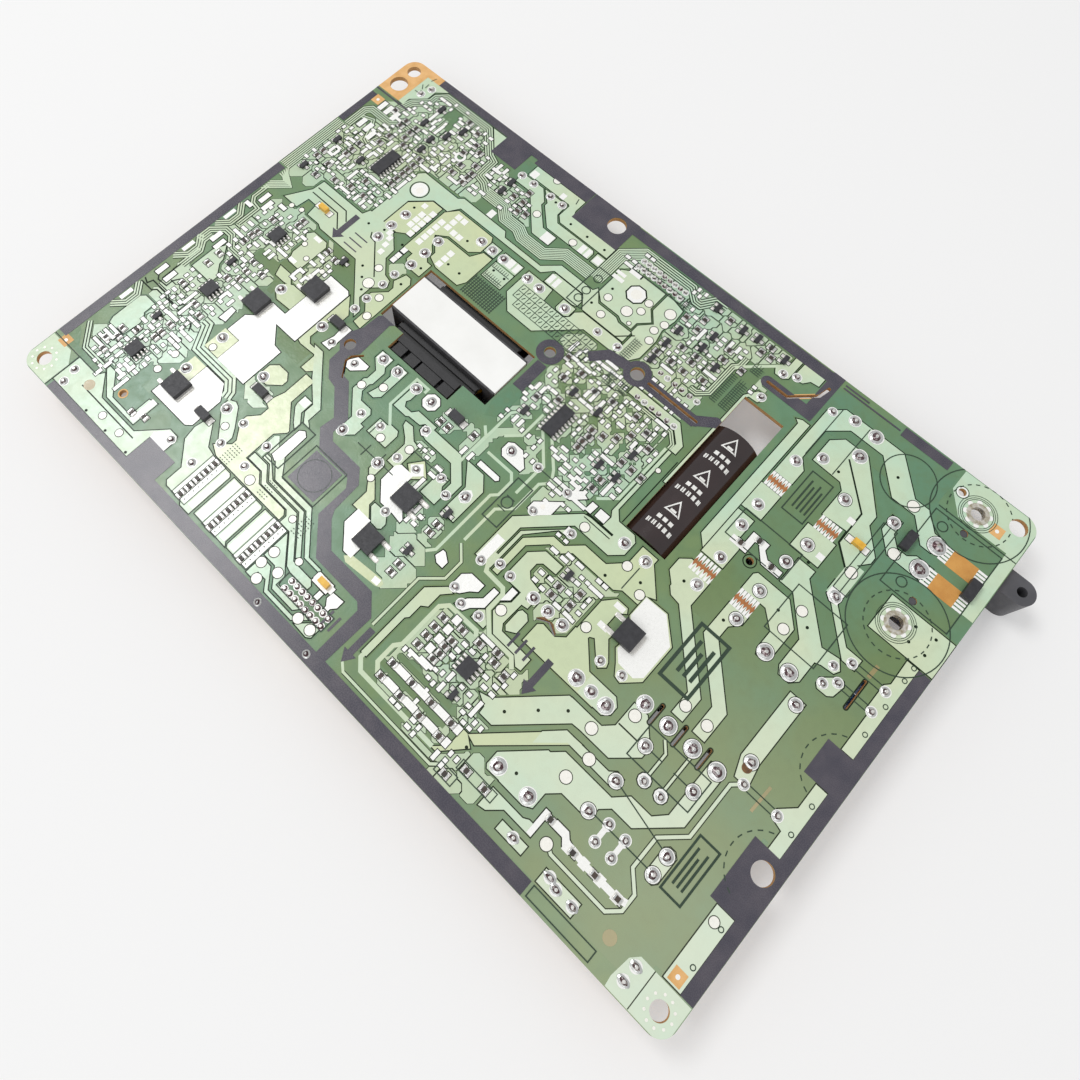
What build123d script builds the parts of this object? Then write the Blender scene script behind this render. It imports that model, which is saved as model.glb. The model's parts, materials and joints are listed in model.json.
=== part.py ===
from build123d import *
from math import atan2, degrees, hypot, sqrt
import os

os.makedirs("parts", exist_ok=True)

# A single-sided power supply board for a television.  The solder side with its
# surface-mount parts faces up; the tall parts hang below and the board rests on
# the tallest of them.  Millimetres, +Z up, rest plane at z = 0.

# ------------------------------------------------------------ driving sizes
board_length = 240.0          # along X
board_width = 160.0           # along Y
board_thickness = 1.6
board_corner = 4.5
under_depth = 13.0            # rest plane to the underside of the board

drawing_length = 240.0        # the layout below is drawn on a board of this size
drawing_width = 160.0

lead_radius = 0.4
lead_play = 0.1               # between a lead and its hole
lead_tip = 1.0                # how far a lead stands out above the board
joint_height = 0.9
joint_waist = 0.3             # top of a joint, as a share of its foot
seat_gap = 0.2                # between the underside and a body held by its leads

main_cap_radius = 8.1
main_cap_length = 41.0
sleeve_wall = 0.15
window_gap = 0.2              # between the big capacitor and its window

core_length = 41.6            # main transformer, plan of the ferrite
core_width = 14.5
core_plate = 3.2
core_leg = 4.3
core_post = 6.2
core_rise = 0.6               # core above the top face of the board
tape_wall = 0.15
tape_width = 13.2

inlet_depth = 23.5            # mains inlet, from the board edge inwards
inlet_width = 28.0
inlet_edge = 1.2
lug_reach = 9.2               # screw lug beyond the board edge
lug_radius = 3.7
socket_pitch = 8.6
socket_radius = 4.4
socket_depth = 14.0

header_pitch = 2.0
header_wall = 0.8

# ------------------------------------------------------------ derived values
layout_x = board_length / drawing_length
layout_y = board_width / drawing_width
unit = min(layout_x, layout_y, 1.0)     # parts get smaller on a smaller board
under_z = under_depth
top_z = under_depth + board_thickness
origin_x = (board_length + lug_reach * unit) / 2
origin_y = board_width / 2
tip_z = top_z + lead_tip
seat_z = under_z - seat_gap


# ------------------------------------------------------------ helpers
def at(x, y, z=0.0):
    """A place on the board drawing, in the model's frame."""
    return (x * layout_x - origin_x, y * layout_y - origin_y, z)


def near(base, dx, dy, z=0.0):
    """A place tied to a part whose centre is `base` on the drawing."""
    x, y, _ = at(*base)
    return (x + dx * unit, y + dy * unit, z)


def blocks(places, size, z0, z1, mode=Mode.ADD):
    """The same upright block at several places of the model's frame."""
    with Locations([(place[0], place[1], (z0 + z1) / 2) for place in places]):
        Box(size[0] * unit, size[1] * unit, z1 - z0, mode=mode)


def block(base, offset, size, z0, z1, mode=Mode.ADD):
    """An upright block beside the centre `base`, from z0 up to z1."""
    blocks([near(base, *offset)], size, z0, z1, mode)


def post(base, offset, radius, z0, z1, mode=Mode.ADD):
    """An upright cylinder beside the centre `base`, from z0 up to z1."""
    with Locations(near(base, offset[0], offset[1], (z0 + z1) / 2)):
        Cylinder(radius, z1 - z0, mode=mode)


def rod_y(base, offset, radius, length, z, mode=Mode.ADD):
    """A cylinder lying along Y with its middle at `offset` from `base`."""
    with Locations(near(base, offset[0], offset[1], z)):
        Cylinder(radius, length, rotation=(90, 0, 0), mode=mode)


def rod_x(base, offset, radius, length, z, mode=Mode.ADD):
    """A cylinder lying along X with its middle at `offset` from `base`."""
    with Locations(near(base, offset[0], offset[1], z)):
        Cylinder(radius, length, rotation=(0, 90, 0), mode=mode)


def wire(points, radius=lead_radius):
    """A round wire bent through the given points."""
    with BuildLine() as path:
        Polyline(*points)
    with BuildSketch(Plane(origin=points[0], z_dir=path.line % 0)) as section:
        Circle(radius)
    sweep(sections=section.sketch, path=path.line, transition=Transition.ROUND)


def raised(point, z):
    """The same place at another height."""
    return (point[0], point[1], z)


def finish(piece, name):
    """Names a finished piece and writes it."""
    piece.part.label = name
    export_step(piece.part, f"parts/{name}.step")


# ------------------------------------------------------------ where the parts stand
transformer = (86.35, 93.65)
transformer_pins = [(-9.9, -20.9), (-4.1, -20.9), (3.6, -20.9), (9.7, -20.9),
                    (-17.65, 28.1), (-13.05, 28.1), (-8.35, 28.1),
                    (1.65, 28.1), (6.45, 28.1), (16.65, 28.1)]
main_cap = (165.95, 104.1)
main_cap_leads = [(-3.8, -24.7), (3.4, -24.7)]
inlet = (240.0, 131.85)
inlet_pins = [(-17.6, 4.25), (-17.6, -4.25)]
inlet_pegs = [(-14.3, 12.15), (-14.3, -12.6)]
peg_radius = 1.0
eyelets = [(225.5, 151.3), (225.6, 111.5)]
chokes = [((189.3, 121.3), 10.0, [(-8.1, 8.65), (8.1, 8.65), (-8.1, -8.65), (8.1, -8.65)]),
          ((189.2, 89.0), 7.3, [(-6.4, 5.0), (6.4, 5.0), (-6.4, -5.0), (6.4, -5.0)])]
box_caps = [((186.2, 143.45), (8.9, 18.0), [(0.0, 7.75), (0.0, -7.75)]),
            ((188.75, 105.0), (18.5, 8.6), [(-7.25, 0.0), (7.25, 0.0)]),
            ((205.65, 44.4), (18.7, 8.6), [(-7.35, 0.0), (7.35, 0.0)]),
            ((91.2, 49.6), (18.0, 7.0), [(-7.2, 0.0), (7.2, 0.0)])]
flat_cap = (209.55, 95.0)
flat_cap_leads = [(-3.65, -12.5), (3.65, -12.5)]
varistor = (206.8, 146.5)
varistor_leads = [(-13.6, 4.7), (-13.6, -3.3)]
disc_caps = [(228.25, 95.3), (228.4, 88.9), (225.6, 54.0), (66.4, 66.0)]
disc_lead = 4.95
bridge = (203.15, 51.85)
bridge_pins = [-11.15, -3.75, 3.75, 11.15]
transistor = (159.5, 52.0)
transistor_pins = [-5.0, 0.0, 5.0]
pfc = (180.5, 30.65)
pfc_pins = [(-4.8, -14.15), (4.8, -14.15), (-4.8, 14.15), (0.0, 14.15), (4.8, 14.15)]
fuse = (210.6, 120.0)
fuse_lead = 13.65
inrush = (219.0, 68.3)
inrush_lead = 9.1
diodes = [((198.2, 33.5), (217.2, 29.4)), ((197.7, 24.1), (217.2, 24.2)),
          ((44.5, 112.5), (59.0, 112.5)), ((44.2, 106.7), (59.0, 106.7)),
          ((44.2, 100.9), (59.0, 100.9))]
small_caps_down = [(63.0, 149.0), (75.05, 149.1)]      # bodies lie towards -Y
small_caps_left = [(57.8, 92.5), (57.9, 80.9)]         # bodies lie towards -X
small_cap_pitch = 2.45                                 # half the lead spacing
small_inductors = [((46.2, 67.7), True), ((46.3, 45.0), True), ((46.5, 31.35), True),
                   ((122.65, 68.5), False)]            # True: pins along X
small_inductor_pin = 9.2
headers = [((117.55, 149.7), 9), ((113.2, 10.35), 8)]
header_row = 1.3                                       # half the row spacing
couplers = [(138.45, 119.8), (143.65, 119.8), (149.1, 119.8)]
coupler_pin = (1.25, 5.2)
jumpers = [((203.1, 38.1), (203.1, 25.3)), ((208.1, 38.1), (208.1, 25.3)),
           ((203.1, 20.2), (203.1, 6.6)), ((208.1, 20.2), (208.1, 6.6)),
           ((188.8, 7.6), (200.5, 7.5)), ((14.4, 8.8), (15.3, 4.4)),
           ((226.0, 7.7), (225.7, 3.7)), ((14.3, 154.0), (13.0, 150.2)),
           ((137.8, 49.8), (137.8, 40.0)), ((131.2, 79.2), (142.0, 79.3)),
           ((162.8, 149.2), (162.7, 138.9)), ((142.2, 52.5), (142.0, 38.0)),
           ((146.3, 52.0), (147.5, 38.8)), ((101.2, 65.6), (101.2, 54.4)),
           ((114.2, 58.6), (118.5, 56.0)), ((115.2, 122.6), (122.7, 122.8)),
           ((150.2, 71.5), (138.6, 69.2)), ((107.4, 55.6), (110.0, 41.5)),
           ((180.0, 149.2), (166.4, 151.0)), ((177.3, 52.0), (183.5, 53.0)),
           ((62.7, 31.6), (72.7, 31.6)), ((62.7, 23.4), (72.7, 23.6)),
           ((51.8, 14.5), (61.4, 14.2)), ((84.2, 56.6), (91.0, 57.6))]

# surface-mount parts: centres on the drawing, long side along Y
so16_chips = [(25.9, 121.8), (126.0, 93.1)]
so8_chips = [(21.85, 79.5), (21.85, 52.8), (21.85, 24.9), (154.5, 27.6)]
power_chips = [((45.1, 74.5), 1), ((35.6, 59.6), 1), ((40.2, 25.9), 1), ((178.3, 61.5), 1),
               ((111.7, 47.9), -1), ((112.7, 32.9), -1)]     # 1: tab towards +X
surge_diodes = [(58.3, 71.5), (58.9, 41.4), (52.6, 25.5), (104.8, 74.1)]
small_transistors = [(23.2, 150.0), (22.9, 142.2), (32.2, 143.2), (29.3, 138.6), (29.9, 133.8),
                     (34.8, 148.2), (7.3, 117.7), (19.0, 117.0), (60.2, 144.3), (60.1, 140.0),
                     (136.0, 153.3), (146.0, 152.5), (150.9, 153.2), (160.6, 153.0),
                     (141.0, 144.8), (140.9, 139.6), (132.2, 139.3), (132.2, 133.6),
                     (132.4, 126.6), (147.5, 137.0), (7.2, 103.3), (43.6, 87.3), (18.9, 63.6),
                     (17.6, 36.3), (123.2, 103.0), (132.3, 103.0), (147.7, 99.8), (142.8, 91.4),
                     (148.6, 91.6), (157.3, 62.6), (117.0, 89.2), (122.2, 38.3), (122.7, 52.6),
                     (156.4, 20.6)]
chips_along_x = [(140.2, 15.5), (147.0, 15.5), (153.8, 15.5), (160.7, 15.5), (140.2, 11.3),
                 (147.0, 11.3), (153.8, 11.3), (160.6, 11.3), (157.4, 35.5), (141.3, 32.3),
                 (141.3, 29.2), (141.3, 26.2), (141.3, 23.1), (170.9, 10.4), (176.8, 10.4),
                 (167.6, 6.3), (192.5, 16.5), (200.9, 14.9), (207.6, 14.9), (214.5, 14.9),
                 (184.2, 100.8), (194.0, 101.1), (187.6, 104.6), (145.8, 88.3), (145.8, 85.0),
                 (157.3, 58.7), (157.3, 55.8), (123.0, 34.1), (123.0, 31.2), (122.7, 48.6),
                 (122.7, 45.7), (132.0, 129.6), (141.4, 133.7), (141.5, 129.8), (147.6, 140.8),
                 (18.4, 130.5), (17.9, 126.6), (48.6, 138.2), (48.6, 135.9), (48.6, 133.7),
                 (13.5, 118.3), (13.6, 121.6), (24.4, 131.0), (32.4, 130.6), (41.2, 85.8),
                 (37.4, 12.0), (41.0, 13.5), (147.0, 29.6), (147.0, 25.3), (147.0, 33.4),
                 (152.4, 34.0), (158.4, 33.2), (13.6, 63.0), (23.6, 68.2), (24.6, 64.6),
                 (16.0, 82.4), (16.0, 76.3), (14.6, 24.1), (14.8, 18.6), (22.6, 37.1),
                 (22.8, 31.4), (127.4, 107.3), (135.2, 91.2), (135.4, 95.6), (121.0, 109.0),
                 (18.0, 138.6), (22.6, 138.6), (17.8, 136.1), (22.3, 136.1), (22.6, 133.5),
                 (32.6, 127.6), (32.6, 125.1), (32.6, 122.7), (32.6, 120.2), (32.6, 117.7),
                 (13.5, 115.8), (7.2, 111.6), (7.2, 108.9), (12.4, 108.9), (33.6, 152.6),
                 (44.6, 146.0), (47.4, 141.2), (43.4, 138.2), (43.4, 134.4), (26.2, 112.6),
                 (29.8, 108.2), (24.2, 107.9), (23.4, 88.7), (23.4, 86.6), (15.6, 74.2),
                 (28.9, 66.9), (25.2, 61.3), (22.2, 59.0), (13.8, 58.4), (12.6, 103.4),
                 (18.6, 106.2), (12.4, 21.4), (13.4, 26.6), (22.8, 33.7), (13.9, 48.6),
                 (22.4, 46.6), (26.4, 44.9), (134.9, 93.4), (134.6, 97.8), (133.2, 108.4),
                 (146.6, 27.4), (146.6, 23.2), (147.0, 144.5), (147.4, 131.4), (155.4, 153.6),
                 (136.4, 135.8), (141.4, 136.2), (137.0, 129.8), (118.0, 104.6)]
chips_along_y = [(66.3, 18.4), (66.3, 15.4), (66.3, 12.4), (66.3, 9.4), (66.3, 6.4),
                 (79.3, 18.4), (79.3, 15.4), (79.3, 12.4), (79.3, 9.4), (79.3, 6.4),
                 (92.0, 18.4), (92.0, 15.4), (92.0, 12.4), (92.0, 9.4), (92.0, 6.4),
                 (111.9, 73.7), (102.1, 70.4), (104.9, 70.4), (162.6, 61.0), (162.6, 57.0),
                 (67.9, 141.2), (68.9, 137.6), (71.6, 138.4), (146.2, 107.6), (141.0, 109.4),
                 (153.6, 96.2), (150.2, 96.2), (146.8, 96.2), (38.6, 151.0), (41.6, 147.2),
                 (12.0, 139.2), (141.2, 100.6), (138.0, 98.4), (116.4, 94.6), (154.0, 150.4),
                 (157.2, 150.8), (135.6, 147.4), (153.6, 141.5), (37.2, 86.4), (121.6, 98.2),
                 (141.2, 152.6), (136.0, 143.4), (131.0, 144.4), (15.6, 71.2), (16.8, 29.2),
                 (162.4, 32.4), (149.6, 104.2), (143.6, 104.0), (114.6, 110.4), (67.0, 145.2),
                 (64.2, 141.0), (40.6, 142.2)]
yellow_chips = [(24.7, 96.2), (206.9, 121.8), (112.7, 17.1)]
line_blocks = [((215.9, 131.6), 2.4, 5.6), ((234.9, 131.6), 2.8, 6.0)]

# holes and cut-outs in the board, drawing places
screw_holes = [((4.45, 148.25), 3.05), ((4.4, 155.4), 2.3), ((95.0, 155.2), 3.05),
               ((235.4, 155.5), 2.5), ((235.3, 41.9), 2.85), ((235.0, 4.9), 2.25),
               ((5.0, 4.9), 2.25)]
tool_holes = [((109.6, 108.0), 1.7), ((65.7, 69.4), 1.8), ((132.5, 120.2), 2.1),
              ((219.2, 153.8), 1.1), ((30.7, 13.8), 1.1), ((189.0, 98.5), 1.1)]
eyelet_radius = 2.2
eyelet_bore = 1.9
eyelet_flange = 3.1
slots = [([(137.0, 120.0), (154.0, 120.0)], 1.0),
         ([(161.2, 144.1), (168.0, 144.1), (174.4, 150.6), (175.2, 154.4)], 1.0),
         ([(195.5, 49.3), (195.5, 54.5)], 0.8), ([(202.8, 49.3), (202.8, 54.5)], 0.8),
         ([(210.3, 49.3), (210.3, 54.5)], 0.8), ([(228.2, 85.4), (228.2, 93.9)], 0.8),
         ([(71.2, 69.4), (69.0, 67.0), (68.8, 65.0), (72.0, 60.7)], 0.7),
         ([(158.7, 48.8), (161.6, 50.3), (164.6, 48.7)], 0.6)]
window_x = (64.6, 107.6)
window_y = (82.7, 103.8)
notch_x = (74.2, 98.8)
notch_y = 76.4
cap_window_y = (83.3, 136.0)

# ------------------------------------------------------------ every soldered lead
mains_joint = 2.4
big_joint = 2.0
mid_joint = 1.6
small_joint = 1.25
fine_joint = 0.8
joints = []                   # (x, y, joint radius)


def solder(point, radius):
    """Notes a lead that is soldered at this place."""
    joints.append((point[0], point[1], radius))


for dx, dy in transformer_pins:
    solder(near(transformer, dx, dy), mid_joint)
for dx, dy in main_cap_leads:
    solder(near(main_cap, dx, dy), mid_joint)
for dx, dy in inlet_pins:
    solder(near(inlet, dx, dy), mains_joint)
for centre, _, pins in chokes:
    for dx, dy in pins:
        solder(near(centre, dx, dy), mid_joint)
for centre, _, pins in box_caps:
    for dx, dy in pins:
        solder(near(centre, dx, dy), mid_joint)
for dx, dy in flat_cap_leads:
    solder(near(flat_cap, dx, dy), big_joint)
for dx, dy in varistor_leads:
    solder(near(varistor, dx, dy), big_joint)
for centre in disc_caps:
    for side in (-1, 1):
        solder(near(centre, side * disc_lead, 0.0), small_joint)
for dx in bridge_pins:
    solder(near(bridge, dx, 0.0), big_joint)
for dx in transistor_pins:
    solder(near(transistor, dx, 0.0), mid_joint)
for dx, dy in pfc_pins:
    solder(near(pfc, dx, dy), mid_joint if dx == 0.0 else big_joint)
for side in (-1, 1):
    solder(near(fuse, 0.0, side * fuse_lead), mid_joint)
    solder(near(inrush, 0.0, side * inrush_lead), mid_joint)
for start, end in diodes:
    solder(at(*start), mid_joint)
    solder(at(*end), mid_joint)
for centre in small_caps_down:
    for side in (-1, 1):
        solder(near(centre, side * small_cap_pitch, 0.0), small_joint)
for centre in small_caps_left:
    for side in (-1, 1):
        solder(near(centre, 0.0, side * small_cap_pitch), small_joint)
for centre, along_x in small_inductors:
    for side in (-1, 1):
        reach = side * small_inductor_pin
        solder(near(centre, reach if along_x else 0.0, 0.0 if along_x else reach), mid_joint)
for centre, count in headers:
    for column in range(count):
        for side in (-1, 1):
            dx = (column - (count - 1) / 2) * header_pitch
            solder(near(centre, dx, side * header_row), fine_joint)
for centre in couplers:
    for side_x in (-1, 1):
        for side_y in (-1, 1):
            solder(near(centre, side_x * coupler_pin[0], side_y * coupler_pin[1]), fine_joint)
for start, end in jumpers:
    solder(at(*start), small_joint)
    solder(at(*end), small_joint)


# ------------------------------------------------------------ circuit board
def board_window(x0, x1, y0, y1, base):
    """A square-cornered opening through the board, tied to a part's centre."""
    offset = ((x0 + x1) / 2 - base[0], (y0 + y1) / 2 - base[1])
    block(base, offset, (x1 - x0, y1 - y0), under_z, top_z, Mode.SUBTRACT)


cap_window_half = sqrt(main_cap_radius ** 2 - (under_depth - main_cap_radius) ** 2) + window_gap

with BuildPart() as circuit_board:
    with Locations((board_length / 2 - origin_x, 0, (under_z + top_z) / 2)):
        Box(board_length, board_width, board_thickness)
    fillet(circuit_board.edges().filter_by(Axis.Z), board_corner)
    for centre, radius in screw_holes + tool_holes:
        post(centre, (0, 0), radius * unit, under_z, top_z, Mode.SUBTRACT)
    for centre in eyelets:
        post(centre, (0, 0), eyelet_radius, under_z, top_z, Mode.SUBTRACT)
    for dx, dy in inlet_pegs:
        post(inlet, (dx, dy), peg_radius + lead_play, under_z, top_z, Mode.SUBTRACT)
    board_window(*window_x, *window_y, transformer)
    board_window(*notch_x, notch_y, window_y[0], transformer)
    window_length = (cap_window_y[1] - cap_window_y[0]) * unit
    window_middle = (cap_window_y[1] + cap_window_y[0]) / 2 - main_cap[1]
    with Locations(near(main_cap, 0, window_middle, (under_z + top_z) / 2)):
        Box(2 * cap_window_half, window_length, board_thickness, mode=Mode.SUBTRACT)
    for points, width in slots:
        for start, end in zip(points, points[1:]):
            x0, y0, _ = at(*start)
            x1, y1, _ = at(*end)
            with BuildSketch(Plane.XY.offset(under_z)):
                with Locations(((x0 + x1) / 2, (y0 + y1) / 2)):
                    SlotCenterToCenter(hypot(x1 - x0, y1 - y0), width,
                                       rotation=degrees(atan2(y1 - y0, x1 - x0)))
            extrude(amount=board_thickness, mode=Mode.SUBTRACT)
    with Locations([(x, y, (under_z + top_z) / 2) for x, y, _ in joints]):
        Cylinder(lead_radius + lead_play, board_thickness, mode=Mode.SUBTRACT)
finish(circuit_board, "circuit_board")

# ------------------------------------------------------------ joints, wires, eyelets
with BuildPart() as solder_joints:
    for size in sorted({radius for _, _, radius in joints}):
        spots = [(x, y, top_z + joint_height / 2) for x, y, radius in joints if radius == size]
        with Locations(spots):
            Cone(size * unit, joint_waist * size * unit + lead_radius / 2, joint_height)
    with Locations([(x, y, top_z + joint_height / 2) for x, y, _ in joints]):
        Cylinder(lead_radius, joint_height, mode=Mode.SUBTRACT)
finish(solder_joints, "solder_joints")

jumper_z = under_z - lead_radius

with BuildPart() as jumper_wires:
    for start, end in jumpers:
        first, last = at(*start), at(*end)
        wire([raised(first, tip_z), raised(first, jumper_z),
              raised(last, jumper_z), raised(last, tip_z)])
finish(jumper_wires, "jumper_wires")

flange_height = 0.2

with BuildPart() as screw_eyelets:
    for centre in eyelets:
        post(centre, (0, 0), eyelet_radius, under_z, top_z)
        post(centre, (0, 0), eyelet_flange, top_z, top_z + flange_height)
        post(centre, (0, 0), eyelet_flange, under_z - flange_height, under_z)
        post(centre, (0, 0), eyelet_bore, under_z - flange_height,
             top_z + flange_height, Mode.SUBTRACT)
finish(screw_eyelets, "screw_eyelets")


# ------------------------------------------------------------ main transformer
core_bottom = tape_wall
core_top = top_z + core_rise
core_middle = (core_bottom + core_top) / 2
leg_shift = (core_length - core_leg) / 2
flange_wall = 0.8
flange_play = 0.1
flange_span = (31.6, 33.0)
hub_wall = 1.0
lower_flange_z = core_bottom + core_plate + flange_play
upper_flange_z = core_top - core_plate - flange_play - flange_wall
hub_play = 0.2
winding_radius = 15.4
rail_bottom = 6.0
rib_place = 8.7               # ribs on the upper flange, beside the ferrite
rib_size = (31.6, 1.3)
primary_rail = ((0, -19.2), (31.6, 8.2))
secondary_rail = ((0, 22.4), (39.0, 14.8))
step_size = (23.6, 2.4)       # the high step of the terminal blocks in the notch
step_place = (-0.1, -12.3)
step_drop = 0.2               # below the top face of the board
tooth_place = -15.2
tooth_depth = 3.2
tooth_drop = 0.5
teeth = ((-9.2, 3.8), (-4.0, 4.0), (2.6, 7.6), (9.6, 4.2))


def core_half(z_plate, z_end):
    """One E-shaped ferrite: a back plate, two outer legs and a round middle leg."""
    low, high = sorted((z_plate, z_end))
    plate = (low, low + core_plate) if z_plate < z_end else (high - core_plate, high)
    block(transformer, (0, 0), (core_length, core_width), *plate)
    for side in (-1, 1):
        block(transformer, (side * leg_shift, 0), (core_leg, core_width), low, high)
    post(transformer, (0, 0), core_post * unit, low, high)


with BuildPart() as transformer_core_lower:
    core_half(core_bottom, core_middle)
finish(transformer_core_lower, "transformer_core_lower")

with BuildPart() as transformer_core_upper:
    core_half(core_top, core_middle)
finish(transformer_core_upper, "transformer_core_upper")

with BuildPart() as transformer_tape:
    tape_span = core_length + 2 * tape_wall / unit
    block(transformer, (0, 0), (tape_span, tape_width), 0, core_top + tape_wall)
    block(transformer, (0, 0), (core_length, tape_width), core_bottom, core_top, Mode.SUBTRACT)
finish(transformer_tape, "transformer_tape")

hub_bore = core_post + hub_play
hub_radius = hub_bore + hub_wall

with BuildPart() as transformer_bobbin:
    block(transformer, (0, 0), flange_span, upper_flange_z, upper_flange_z + flange_wall)
    block(transformer, (0, 0), flange_span, lower_flange_z, lower_flange_z + flange_wall)
    post(transformer, (0, 0), hub_radius * unit, lower_flange_z, upper_flange_z)
    for side in (-1, 1):                                 # ribs beside the ferrite
        block(transformer, (0, side * rib_place), rib_size, upper_flange_z, under_z)
    block(transformer, *primary_rail, rail_bottom, seat_z)
    block(transformer, *secondary_rail, rail_bottom, seat_z)
    for dx, width in teeth:
        block(transformer, (dx, tooth_place), (width, tooth_depth), seat_z, top_z - tooth_drop)
    block(transformer, step_place, step_size, upper_flange_z, top_z - step_drop)
    post(transformer, (0, 0), hub_bore * unit, lower_flange_z, under_z, Mode.SUBTRACT)
    for dx, dy in transformer_pins:
        post(transformer, (dx, dy), lead_radius, rail_bottom, seat_z, Mode.SUBTRACT)
finish(transformer_bobbin, "transformer_bobbin")

with BuildPart() as transformer_winding:
    post(transformer, (0, 0), winding_radius * unit, lower_flange_z + flange_wall, upper_flange_z)
    post(transformer, (0, 0), hub_radius * unit, lower_flange_z, upper_flange_z, Mode.SUBTRACT)
    block(transformer, *primary_rail, rail_bottom, seat_z, Mode.SUBTRACT)
    block(transformer, *secondary_rail, rail_bottom, seat_z, Mode.SUBTRACT)
finish(transformer_winding, "transformer_winding")

with BuildPart() as transformer_pin_set:
    for dx, dy in transformer_pins:
        post(transformer, (dx, dy), lead_radius, rail_bottom, tip_z)
finish(transformer_pin_set, "transformer_pins")


# ------------------------------------------------------------ big capacitor in its window
can_radius = main_cap_radius - sleeve_wall
can_length = main_cap_length - 2 * sleeve_wall
cap_axis = main_cap_radius
sleeve_curl = 1.6
crimp_wall = 1.1
curl_radius = can_radius - sleeve_curl  # the sleeve curls over both ends
seal_radius = can_radius - crimp_wall
seal_depth = 3.0
seal_middle = -can_length / 2 + seal_depth / 2

with BuildPart() as main_capacitor_sleeve:
    rod_y(main_cap, (0, 0), main_cap_radius, main_cap_length * unit, cap_axis)
    rod_y(main_cap, (0, 0), can_radius, can_length * unit, cap_axis, Mode.SUBTRACT)
    rod_y(main_cap, (0, 0), curl_radius, main_cap_length * unit, cap_axis, Mode.SUBTRACT)
finish(main_capacitor_sleeve, "main_capacitor_sleeve")

with BuildPart() as main_capacitor_can:
    rod_y(main_cap, (0, 0), can_radius, can_length * unit, cap_axis)
    rod_y(main_cap, (0, seal_middle), seal_radius, seal_depth * unit, cap_axis, Mode.SUBTRACT)
finish(main_capacitor_can, "main_capacitor_can")

with BuildPart() as main_capacitor_seal:
    rod_y(main_cap, (0, seal_middle), seal_radius, seal_depth * unit, cap_axis)
    for dx, _ in main_cap_leads:
        rod_y(main_cap, (dx, seal_middle), lead_radius, seal_depth * unit, cap_axis, Mode.SUBTRACT)
finish(main_capacitor_seal, "main_capacitor_seal")


# ------------------------------------------------------------ mains inlet
socket_z = under_z / 2
socket_waist = 0.75           # height of the middle of the socket, as a share of its ends
lug_top = under_z - 0.4
lug_bore = 1.4
lug_middle = (lug_reach - lug_radius, 10.15)
blade_radius = 1.2
blade_length = 10.0

with BuildPart() as inlet_housing:
    block(inlet, (-inlet_depth / 2, -0.1), (inlet_depth, inlet_width), 0, under_z)
    fillet(inlet_housing.edges().filter_by(Axis.Z), inlet_edge * unit)
    block(inlet, (lug_middle[0] / 2 - 1.0, lug_middle[1]),
          (lug_middle[0] + 2.0, 2 * lug_radius), 0, lug_top)
    post(inlet, lug_middle, lug_radius * unit, 0, lug_top)
    post(inlet, lug_middle, lug_bore * unit, 0, lug_top, Mode.SUBTRACT)
    socket_middle = -socket_depth / 2
    for side in (-1, 1):
        rod_x(inlet, (socket_middle, side * socket_pitch / 2), socket_radius * unit,
              socket_depth * unit, socket_z, Mode.SUBTRACT)
    block(inlet, (socket_middle, 0), (socket_depth, socket_pitch),
          socket_z - socket_radius * socket_waist, socket_z + socket_radius * socket_waist,
          Mode.SUBTRACT)
    for dx, dy in inlet_pegs:
        post(inlet, (dx, dy), peg_radius, under_z, top_z - 0.3)
    for dx, dy in inlet_pins:
        post(inlet, (dx, dy), lead_radius, socket_z, under_z, Mode.SUBTRACT)
        rod_x(inlet, (-socket_depth / 2 + dx / 2, dy), blade_radius * unit,
              (-socket_depth - dx) * unit, socket_z, Mode.SUBTRACT)
finish(inlet_housing, "inlet_housing")

with BuildPart() as inlet_contacts:
    for dx, dy in inlet_pins:
        reach = -socket_depth + blade_length - dx
        rod_x(inlet, (dx + reach / 2, dy), blade_radius * unit, reach * unit, socket_z)
        post(inlet, (dx, dy), lead_radius, socket_z, tip_z)
finish(inlet_contacts, "inlet_contacts")


# ------------------------------------------------------------ mains filter chokes
base_wall = 1.6
base_margin = 1.0             # the base plate past the ring
choke_turn = 1.05             # thickness of the winding around the ring
turn_gap = 0.15               # between the ring and its winding
ring_height = 6.0
choke_base_low = seat_z - base_wall
ring_high = choke_base_low - choke_turn - turn_gap
ring_low = ring_high - ring_height
ring_inset = choke_turn + turn_gap
sector = 130


def ring(centre, outer, inner, z0, z1):
    """An upright ring, such as a ferrite toroid lying flat."""
    post(centre, (0, 0), outer * unit, z0, z1)
    post(centre, (0, 0), inner * unit, z0, z1, Mode.SUBTRACT)


def coil_half(centre, outer, inner, side):
    """One winding: a hollow C around one side of the ring."""
    x, y, _ = at(*centre)
    start = (-sector / 2) if side > 0 else (180 - sector / 2)
    across = (outer - inner) / 2 * unit
    middle = (outer + inner) / 2 * unit
    height = (ring_low + ring_high) / 2
    face = Plane(origin=(x, y, height), x_dir=(1, 0, 0), z_dir=(0, -1, 0))
    axis = Axis((x, y, 0), (0, 0, 1))
    with BuildSketch(face.rotated((0, 0, start))) as section:
        with Locations((middle, 0)):
            wide = 2 * across + 2 * turn_gap
            tall = ring_height + 2 * turn_gap
            Rectangle(wide + 2 * choke_turn, tall + 2 * choke_turn)
            Rectangle(wide, tall, mode=Mode.SUBTRACT)
    revolve(profiles=section.sketch, axis=axis, revolution_arc=sector)


with BuildPart() as choke_cores:
    for centre, outer, _ in chokes:
        ring(centre, outer - ring_inset, outer / 2, ring_low, ring_high)
finish(choke_cores, "choke_cores")

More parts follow.
